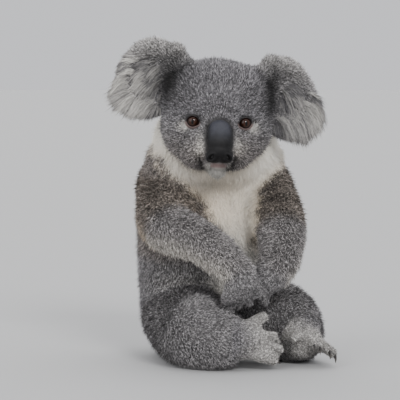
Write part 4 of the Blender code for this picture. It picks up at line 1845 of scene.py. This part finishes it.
@dataclass
class Coat:
    """All the fur: where it grows, how it lies and how thick it is."""

    skin: Skin
    markings: Markings
    fur: bpy.types.Material
    nose: BVHTree  # the bare nose, which no tuft grows under
    locks: int = 9500  # the long locks of each ear

    def limb_ways(self) -> dict[str, Array]:
        """Which way the limbs run.

        Returns:
            For each of their nodes, the direction away from the body.
        """
        ways = {}
        for parts, side in ((parts, side) for side, _ in SIDES for parts in (LIMB_PARTS[:3], LIMB_PARTS[3:])):
            middles = [place_of(f"{part}_{side}") for part in parts]
            middles.append(place_of(*claw_nodes(parts[-1], side)))
            for part, start, end in zip(parts, middles[:-1], middles[1:]):
                ways[f"{part}_{side}"] = unit(end - start)
        return ways

    def flow(self, skin: Ground) -> Array:
        """The direction in which the fur lies.

        Args:
            skin: the skin's points.

        Returns:
            One direction for each point, along the skin.
        """
        way = (skin.normals * (0.6, 0.6, 0.0) + (0.0, 0.0, -1.0)) * (skin.trunk | skin.on("rump"))[:, None]
        for name, direction in self.limb_ways().items():
            way[skin.on(name)] = direction + np.array((0.0, 0.0, -0.25))
        on_head = skin.on(*HEAD_PARTS)
        from_nose = unit(skin.local - np.array((0.0, -66.0, -24.0)))
        back = np.array((0.0, 0.9, 0.0)) * smoothstep(-40, 10, skin.local[:, 1])[:, None]
        down = np.array((0.0, 0.0, -0.8)) * smoothstep(10, 50, skin.local[:, 1])[:, None]
        way[on_head] = skin.head.world_vector(from_nose + back + down)[on_head]
        for side, ear in EARS.items():
            mask = skin.on(f"ear_{side}")
            x, y, z = ear.local(skin.points[mask], skin.head).T
            way[mask] = unit(np.column_stack([x + 34, 0 * y, z + 6])) @ turn_of(ear.matrix(skin.head)).T
        way = along_skin(relaxed(unit(way), skin.edges, 14), skin.normals)
        twist = np.radians(6 * waves(skin.points, 14.0, 31) + 5 * waves(skin.points, 6.0, 32))[:, None]
        return unit(way * np.cos(twist) + np.cross(skin.normals, way) * np.sin(twist))

    def regions(self, skin: Ground) -> Array:
        """Which coat piece each point of the skin belongs to.

        Args:
            skin: the skin's points.

        Returns:
            The piece's number for each point.
        """
        numbers = {region: number for number, region in enumerate(Region)}
        by_point = np.array([numbers[region_of(node)] for node in LABELS])[skin.labels]
        face, back = by_point == numbers[Region.FACE], by_point == numbers[Region.BACK]
        by_point[face & (skin.local[:, 1] > -12)] = numbers[Region.CROWN]
        by_point[back & (skin.normals[:, 1] < 0.05)] = numbers[Region.THROAT]
        return by_point

    def maps(self, points: Array, triangles: Array, regions: Array) -> Array:
        """Unwraps the skin's own shape, one region at a time, on a copy.

        Args:
            points: the skin's points.
            triangles: the skin's triangles.
            regions: the coat piece of each.

        Returns:
            The three corners' places on the map for each triangle.
        """
        mesh = bpy.data.meshes.new("coat_map")
        mesh.from_pydata((points * MM).tolist(), [], triangles.tolist())
        sheet = placed("coat_map", mesh)
        mesh.uv_layers.new(name=UV_NAME)
        for number in range(len(Region)):
            mesh.polygons.foreach_set("select", regions == number)
            mesh.update()
            with editing(sheet, None):
                bpy.ops.uv.smart_project(angle_limit=math.radians(66), island_margin=0.004)
        corners = rows_of(mesh.uv_layers[UV_NAME].uv, "vector", 2)
        bpy.data.objects.remove(sheet)
        return corners.reshape(-1, 3, 2)

    def prepare(self) -> Growth:
        """Reads the finished skin.

        Returns:
            All that the coat needs from it.
        """
        mesh = self.skin.piece.data
        points, normals, edges = points_of(mesh), normals_of(mesh), edges_of(mesh)
        skin = Ground(self.skin.head, points, normals, self.skin.labels, edges)
        shares = self.markings.paint(skin)
        shares["dark"] = np.maximum(shares["dark"], 0.8 * smoothstep(2.4, 0.7, self.nose_gap(points)))
        for name, values in shares.items():
            set_attribute(mesh, name, values)
        face = np.zeros(len(points))
        for centre, size in SHORT_FUR:
            face = np.maximum(face, spot(skin.local, centre, (size, size, size)))
        face = relaxed(face * skin.on(*HEAD_PARTS), edges, 3)
        lie = {}
        for name, shorter in (("length", 0.66), ("width", 0.42), ("lean", 0.45)):
            lie[name] = relaxed(self.skin.field_of(name), edges, 14) * (1 - shorter * face)
        mesh.calc_loop_triangles()
        triangles = rows_of(mesh.loop_triangles, "vertices", 3, np.int64)
        regions = self.regions(skin)[triangles[:, 0]]
        maps = self.maps(points, triangles, regions)
        return Growth(points, normals, self.flow(skin), triangles, regions, lie, shares, maps)

    def nose_gap(self, points: Array) -> Array:
        """How far each point is from the nose's leather.

        Args:
            points: in millimetres.

        Returns:
            The distance in millimetres, below 0 inside it and large far away.
        """
        gaps = np.full(len(points), 99.0)
        local = self.skin.head.local(points)
        near = (np.abs(local[:, 0]) < 21) & (local[:, 1] < -36) & (np.abs(local[:, 2] + 26) < 34)
        for number in np.flatnonzero(near):
            point = Vector(points[number] * MM)
            place, normal, _, gap = self.nose.find_nearest(point)
            gaps[number] = -1.0 if (point - place).dot(normal) < 0 else gap / MM
        return gaps

    def bare(self, points: Array, shares: dict[str, Array]) -> Array:
        """Which points no tuft grows from: inside the lids, on the lips and under the nose's leather.

        Args:
            points: in millimetres.
            shares: the markings at each.

        Returns:
            True for each bare point.
        """
        bald = (shares["bare"] > 0.45) | (self.nose_gap(points) < 0.4)
        for eye in self.markings.eyes.values():
            seen = eye.local(points, self.skin.head)
            ratio = np.hypot(seen[:, 0] / eye.opening[0], seen[:, 2] / eye.opening[1])
            bald |= (ratio < 1.22) & (seen[:, 1] < 0)
        return bald

    def cover(self, growth: Growth, region: Region) -> None:
        """Grows one coat piece.

        Args:
            growth: the skin.
            region: which piece.
        """
        name, tufts = region.value
        number = list(Region).index(region)
        chosen = np.flatnonzero(growth.regions == number)
        corners = growth.triangles[chosen]
        size = (growth.lie["length"] * growth.lie["width"])[corners].mean(axis=1)
        shown = smoothstep(2.0, 9.0, growth.points[corners, 2].mean(axis=1))
        weights = size**-0.85 * (0.25 + 0.75 * shown)
        ear = {Region.EAR_LEFT: EARS["left"], Region.EAR_RIGHT: EARS["right"]}.get(region)
        if ear:
            locks = self.lock_share(growth, chosen, ear)
            weights *= 1 - 0.92 * locks
        roots = scatter(growth, chosen, weights, tufts, 100 + number)
        roots = roots.kept(~self.bare(roots.points, roots.shares))
        batches = [(roots, *Tuft().grow(roots))]
        if ear:
            batches.append(self.ear_locks(growth, chosen, ear, locks))
        piece = tuft_mesh(name, batches)
        piece.data.materials.append(self.fur)
        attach(piece, BODY)
        area = growth.areas()[chosen].sum()
        LOG.info("%s: %d triangles, %.0f mm2", name, len(piece.data.polygons), area)

    def lock_share(self, growth: Growth, chosen: Array, ear: EarShape) -> Array:
        """How much of each of an ear's triangles lies in the field of long locks.

        Args:
            growth: the skin.
            chosen: the ear's triangles.
            ear: the ear.

        Returns:
            One share for each triangle.
        """
        head, corners = self.skin.head, growth.triangles[chosen]
        middles = ear.local(growth.points[corners].mean(axis=1), head)
        facing = growth.normals[corners].mean(axis=1) @ turn_of(ear.matrix(head))
        x, _, z = middles.T
        height, fall, near, far = ear.brim
        top = height - fall * smoothstep(near, far, x) - 7.0 * smoothstep(0.0, -20.0, x)
        ragged = 1.5 * waves(middles, 4.0, 43)
        share = smoothstep(-0.55, 0.0, -facing[:, 1]) * smoothstep(top + 2.5, top - 2.5, z + ragged)
        return share * smoothstep(-16.0, -6.0, x - 0.2 * z + ragged)

    def ear_locks(self, growth: Growth, chosen: Array, ear: EarShape, share: Array) -> tuple:
        """The long pale locks that sweep out and down from an ear's hollow, over its lower rim.

        Args:
            growth: the skin.
            chosen: the ear's triangles.
            ear: the ear.
            share: how much of each triangle lies in the locks' field.

        Returns:
            One batch for tuft_mesh.
        """
        head = self.skin.head
        turn = turn_of(ear.matrix(head))
        reach = np.linalg.norm(ear.local(growth.points[growth.triangles[chosen]].mean(axis=1), head), axis=1)
        weights = share * (0.45 + 0.55 * smoothstep(6, 30, reach)) + 1e-7
        roots = scatter(growth, chosen, weights, self.locks, 300 + ear.side)
        seen = ear.local(roots.points, head)
        x, y, z = seen.T
        bend = np.radians(11 * waves(seen, 8.0, 41 + ear.side))
        fan = rolled(np.column_stack([x + 34, 0 * y, z - 22]), bend)
        roots.normals = unit(roots.normals * 0.35 + turn @ np.array([0.0, -1.0, 0.0]))
        roots.flow = along_skin(unit(fan) @ turn.T, roots.normals)
        low = smoothstep(14, -22, z)
        length = 26 + 6 * low
        tip = seen + unit(fan + np.array((0.0, 0.0, -8.0))) * length[:, None]
        angle = np.degrees(np.arctan2(tip[:, 2], tip[:, 0]))
        over = np.hypot(tip[:, 0], tip[:, 2]) + 3.5 - np.interp(angle, *np.array(ear.fringe, float).T)
        turned = np.column_stack([np.arctan2(fan[:, 2], fan[:, 0]) * 42, 0.10 * x, y * 0])
        streak, fine = waves(turned, 3.0, 51), waves(turned, 1.1, 52)
        roots.lie["length"] = np.maximum(length - np.maximum(over, 0.0), 4.0)
        roots.lie["width"] = np.full(len(roots), 0.95)
        roots.lie["lean"] = np.maximum(11.0 + 7.0 * (1 - low) + 5.0 * streak, 2.0)
        far = smoothstep(2.0, 46.0, x - 0.6 * z)
        shade = np.clip(ear.lock_tone + 0.22 * far + 0.15 * streak + 0.09 * fine, 0.02, 1)
        roots.shares["pale"] = shade * (1 - roots.shares["dark"])
        roots.shares["dark"] = np.clip(0.85 * roots.shares["dark"] - 0.30 * np.minimum(streak, 0), 0, 1)
        return (roots, *LOCK.grow(roots))

    def build(self) -> None:
        """Grows every piece of the coat."""
        growth = self.prepare()
        for region in Region:
            self.cover(growth, region)


# ------------------------ eyes, nose and claws


def finish_piece(piece: bpy.types.Object, material: bpy.types.Material, slot: str, *nodes: str) -> None:
    """Gives a piece its material, lets it ride, and puts it in the place of its nodes.

    Args:
        piece: the finished mesh.
        material: its only material.
        slot: the slot that its finish would fill; not used.
        *nodes: the CAD nodes that it replaces.
    """
    piece.data.materials.clear()
    piece.data.materials.append(material)
    select_only(piece)
    bpy.ops.object.shade_smooth()
    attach(piece, BODY)
    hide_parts(*nodes)
    LOG.info("%s: %d faces", piece.name, len(piece.data.polygons))


@dataclass
class Eye:
    """One eyeball with its clear front."""

    shape: EyeShape
    head: HeadFrame

    def build(self) -> None:
        """Makes the ball, whose front swells a little where the cornea is."""
        shape, name = self.shape, self.shape.name
        place = shape.matrix(self.head)
        eyeball = named(ball((shape.ball_radius * MM,) * 3, about("X", 90), 64), f"eyeball_{name}")
        rise = np.array((0.0, -shape.cornea_rise, 0.0))
        way = unit(points_of(eyeball.data))
        along = way @ rise
        inside = along**2 - (rise @ rise - shape.cornea_radius**2)
        out = along + np.sqrt(np.maximum(inside, 0))
        set_points(eyeball.data, way * np.maximum(out, shape.ball_radius)[:, None])
        eyeball.data.transform(place)
        finish_piece(eyeball, IrisFinish().material(f"iris_{name}", place), "eye", f"eye_{name}")


@dataclass
class Nose:
    """The bare nose, a tall rounded shield with a nostril in each lower corner, in millimetres."""

    head: HeadFrame
    grain: float = 0.75
    masses: tuple = (
        ((0.0, -59.0, -15.5), (13.2, 14.0, 13.0)),
        ((0.0, -62.5, -21.0), (15.0, 15.0, 15.0)),
        ((0.0, -65.5, -28.0), (14.6, 15.0, 14.0)),
        ((0.0, -67.5, -35.0), (13.2, 13.6, 12.0)),
        ((7.2, -68.5, -41.0), (8.0, 10.0, 8.4)),
        ((-7.2, -68.5, -41.0), (8.0, 10.0, 8.4)),
    )
    nostril: tuple = ((9.4, -78.0, -42.5), (2.1, 6.0, 3.6))
    nostril_turn: float = 38.0
    nostril_depth: float = 4.6
    wing: float = 0.8  # how far the rim round a nostril stands out
    cleft: float = 1.1  # depth of the line under the middle of the nose

    def build(self) -> BVHTree:
        """Joins the nose's masses, evens them and opens the nostrils.

        Returns:
            A search tree of the finished nose.
        """
        place = self.head.matrix()
        nose = joined("nose_leather", balls(self.masses, place, 48))
        apply_modifier(nose, "REMESH", mode="VOXEL", voxel_size=self.grain * MM)
        nose = named(keep_largest(nose), "nose_leather")
        apply_modifier(nose, "SMOOTH", factor=0.5, iterations=14)
        mesh = nose.data
        points = points_of(mesh)
        local = self.head.local(points)
        x, y, z = local.T
        press, nostril_shade = np.zeros(len(points)), np.zeros(len(points))
        (aside, forward, up), (wide, _, tall) = self.nostril
        for _, side in SIDES:
            turn = -math.radians(side * self.nostril_turn)
            seen = rolled(local - np.array((side * aside, forward, up)), turn)
            ratio = np.hypot(seen[:, 0] / wide, seen[:, 2] / tall)
            rim = self.wing * bell(ratio - 1.5, 0.35)
            press += (y < -66) * (self.nostril_depth * smoothstep(1.15, 0.55, ratio) - rim)
            # Marks each nostril's hollow, which the nose's material paints near black as its shade.
            nostril_shade = np.maximum(nostril_shade, (y < -66) * smoothstep(1.25, 0.95, ratio))
        press += self.cleft * bell(x, 1.1) * smoothstep(-40, -48, z) * (y < -60)
        points -= normals_of(mesh) * press[:, None]
        set_points(mesh, relaxed(points, edges_of(mesh), 1, 0.4))
        set_attribute(mesh, "nostril_shade", nostril_shade)
        height = (z.min() * MM, z.max() * MM)
        finish_piece(nose, NoseFinish().material(place, height), "nose_skin", "nose")
        corners = [vertex.co for vertex in mesh.vertices]
        return BVHTree.FromPolygons(corners, [face.vertices for face in mesh.polygons])


@dataclass
class Claws:
    """The curved claws, each rounded from its own solid."""

    rounding: int = 2

    def build(self) -> None:
        """Makes one rounded claw in place of each claw node."""
        horn = HornFinish().material()
        for limb, side in ((limb, side) for side, _ in SIDES for limb in ("hand", "foot")):
            for node in claw_nodes(limb, side):
                name = node.replace("claw", "horn")
                claw = named(copy_of(node, name), name)
                apply_modifier(claw, "SUBSURF", levels=self.rounding, render_levels=self.rounding)
                reach = np.linalg.norm(points_of(claw.data) - place_of(f"{limb}_{side}"), axis=1)
                set_attribute(claw.data, "along", (reach - reach.min()) / (reach.max() - reach.min()))
                finish_piece(claw, horn, "claw", node)


# ------------------------ studio


@dataclass
class Studio:
    """Floor, soft lights and the camera."""
    distance: float = 2.5
    elevation: float = 4.0
    view_height: float = 0.448  # what the camera sees at the animal's distance, top to bottom
    target: tuple = (-0.0284, -0.0406, 0.186)
    sensor: float = 36.0
    floor_width: float = 30.0
    lamps: tuple = (  # each one's name, where it shines from, its width in degrees and its strength
        ("key", (0.34, -1.0, 0.62), 18.0, 2.4),
        ("fill", (-0.9, -0.8, 0.45), 60.0, 1.7),
        ("top", (0.15, 0.25, 1.0), 70.0, 1.5),
        ("back", (-0.3, 1.0, 0.7), 50.0, 0.9),
    )
    air: tuple = ((0.95, 0.96, 1.0, 1.0), 0.85)  # the air's colour and strength

    def build(self) -> None:
        """Sets up everything round the animal."""
        self.lay_floor()
        self.hang_lights()
        self.place_camera()

    def lay_floor(self) -> None:
        """A wide pale floor under the animal."""
        bpy.ops.object.select_all(action="DESELECT")
        bpy.ops.mesh.primitive_plane_add(size=1.0)
        floor = named(bpy.context.view_layer.objects.active, "studio_floor")
        with editing(floor):
            bpy.ops.transform.resize(value=(self.floor_width, self.floor_width, 1.0))
        floor.data.materials.append(FloorFinish().material())

    def hang_lights(self) -> None:
        """A key from over the camera's right, a wide fill from its left, a top light, and pale air."""
        for name, place, width, power in self.lamps:
            light = bpy.data.lights.new(name, "SUN")
            light.angle = math.radians(width)
            light.energy = power
            lamp = placed(name, light)
            lamp.location = place
            lamp.rotation_euler = Vector(place).to_track_quat("Z", "Y").to_euler()
        world = bpy.context.scene.world or bpy.data.worlds.new("air")
        bpy.context.scene.world = world
        world.use_nodes = True
        air = world.node_tree.nodes["Background"]
        air.inputs["Color"].default_value, air.inputs["Strength"].default_value = self.air

    def place_camera(self) -> None:
        """A long lens a little above the eyes' height, looking level from the front."""
        camera = bpy.data.cameras.new("camera")
        camera.sensor_width = self.sensor
        camera.lens = self.sensor * self.distance / self.view_height
        camera.clip_end = 50.0
        holder = placed("camera", camera)
        rise = math.radians(self.elevation)
        back = Vector((0.0, -math.cos(rise), math.sin(rise)))
        holder.location = Vector(self.target) + back * self.distance
        holder.rotation_euler = (-back).to_track_quat("-Z", "Y").to_euler()
        bpy.context.scene.camera = holder


# ------------------------ the whole animal


def dress_skin(head: HeadFrame, eyes: dict) -> Skin:
    """Makes the skin with its lids and mouth.

    Args:
        head: the head's frame.
        eyes: the two eyes by side.

    Returns:
        The finished skin.
    """
    skin = Skin(head)
    skin.build()
    before, labels = points_of(skin.piece.data), skin.labels
    for eye in eyes.values():
        centre = np.array(eye.matrix(head).to_translation()) / MM
        for radius in (24.0, 17.0, 13.5):
            skin.refine(centre, radius)
    mouth = np.array(head.matrix() @ (Vector((0, -60, -56)) * MM)) / MM
    skin.refine(mouth, 26.0)
    skin.relabel(before, labels)
    skin.part_digits()
    skin.shape_mouth()
    for eye in eyes.values():
        skin.open_eye(eye)
    return skin


def main() -> None:
    """Builds every piece in order and reports it."""
    logging.basicConfig(level=logging.INFO, format="%(message)s")
    head = HeadFrame()
    eyes = {side: EyeShape(sign) for side, sign in SIDES}
    skin = dress_skin(head, eyes)
    nose = Nose(head).build()
    Coat(skin, Markings(head, eyes), FurFinish().material(), nose).build()
    finish_piece(skin.piece, SkinFinish().material(), "coat_grey", *FLESH, *EAR_NODES)
    for shape in eyes.values():
        Eye(shape, head).build()
    Claws().build()
    Studio().build()


if __name__ == "__main__":
    main()
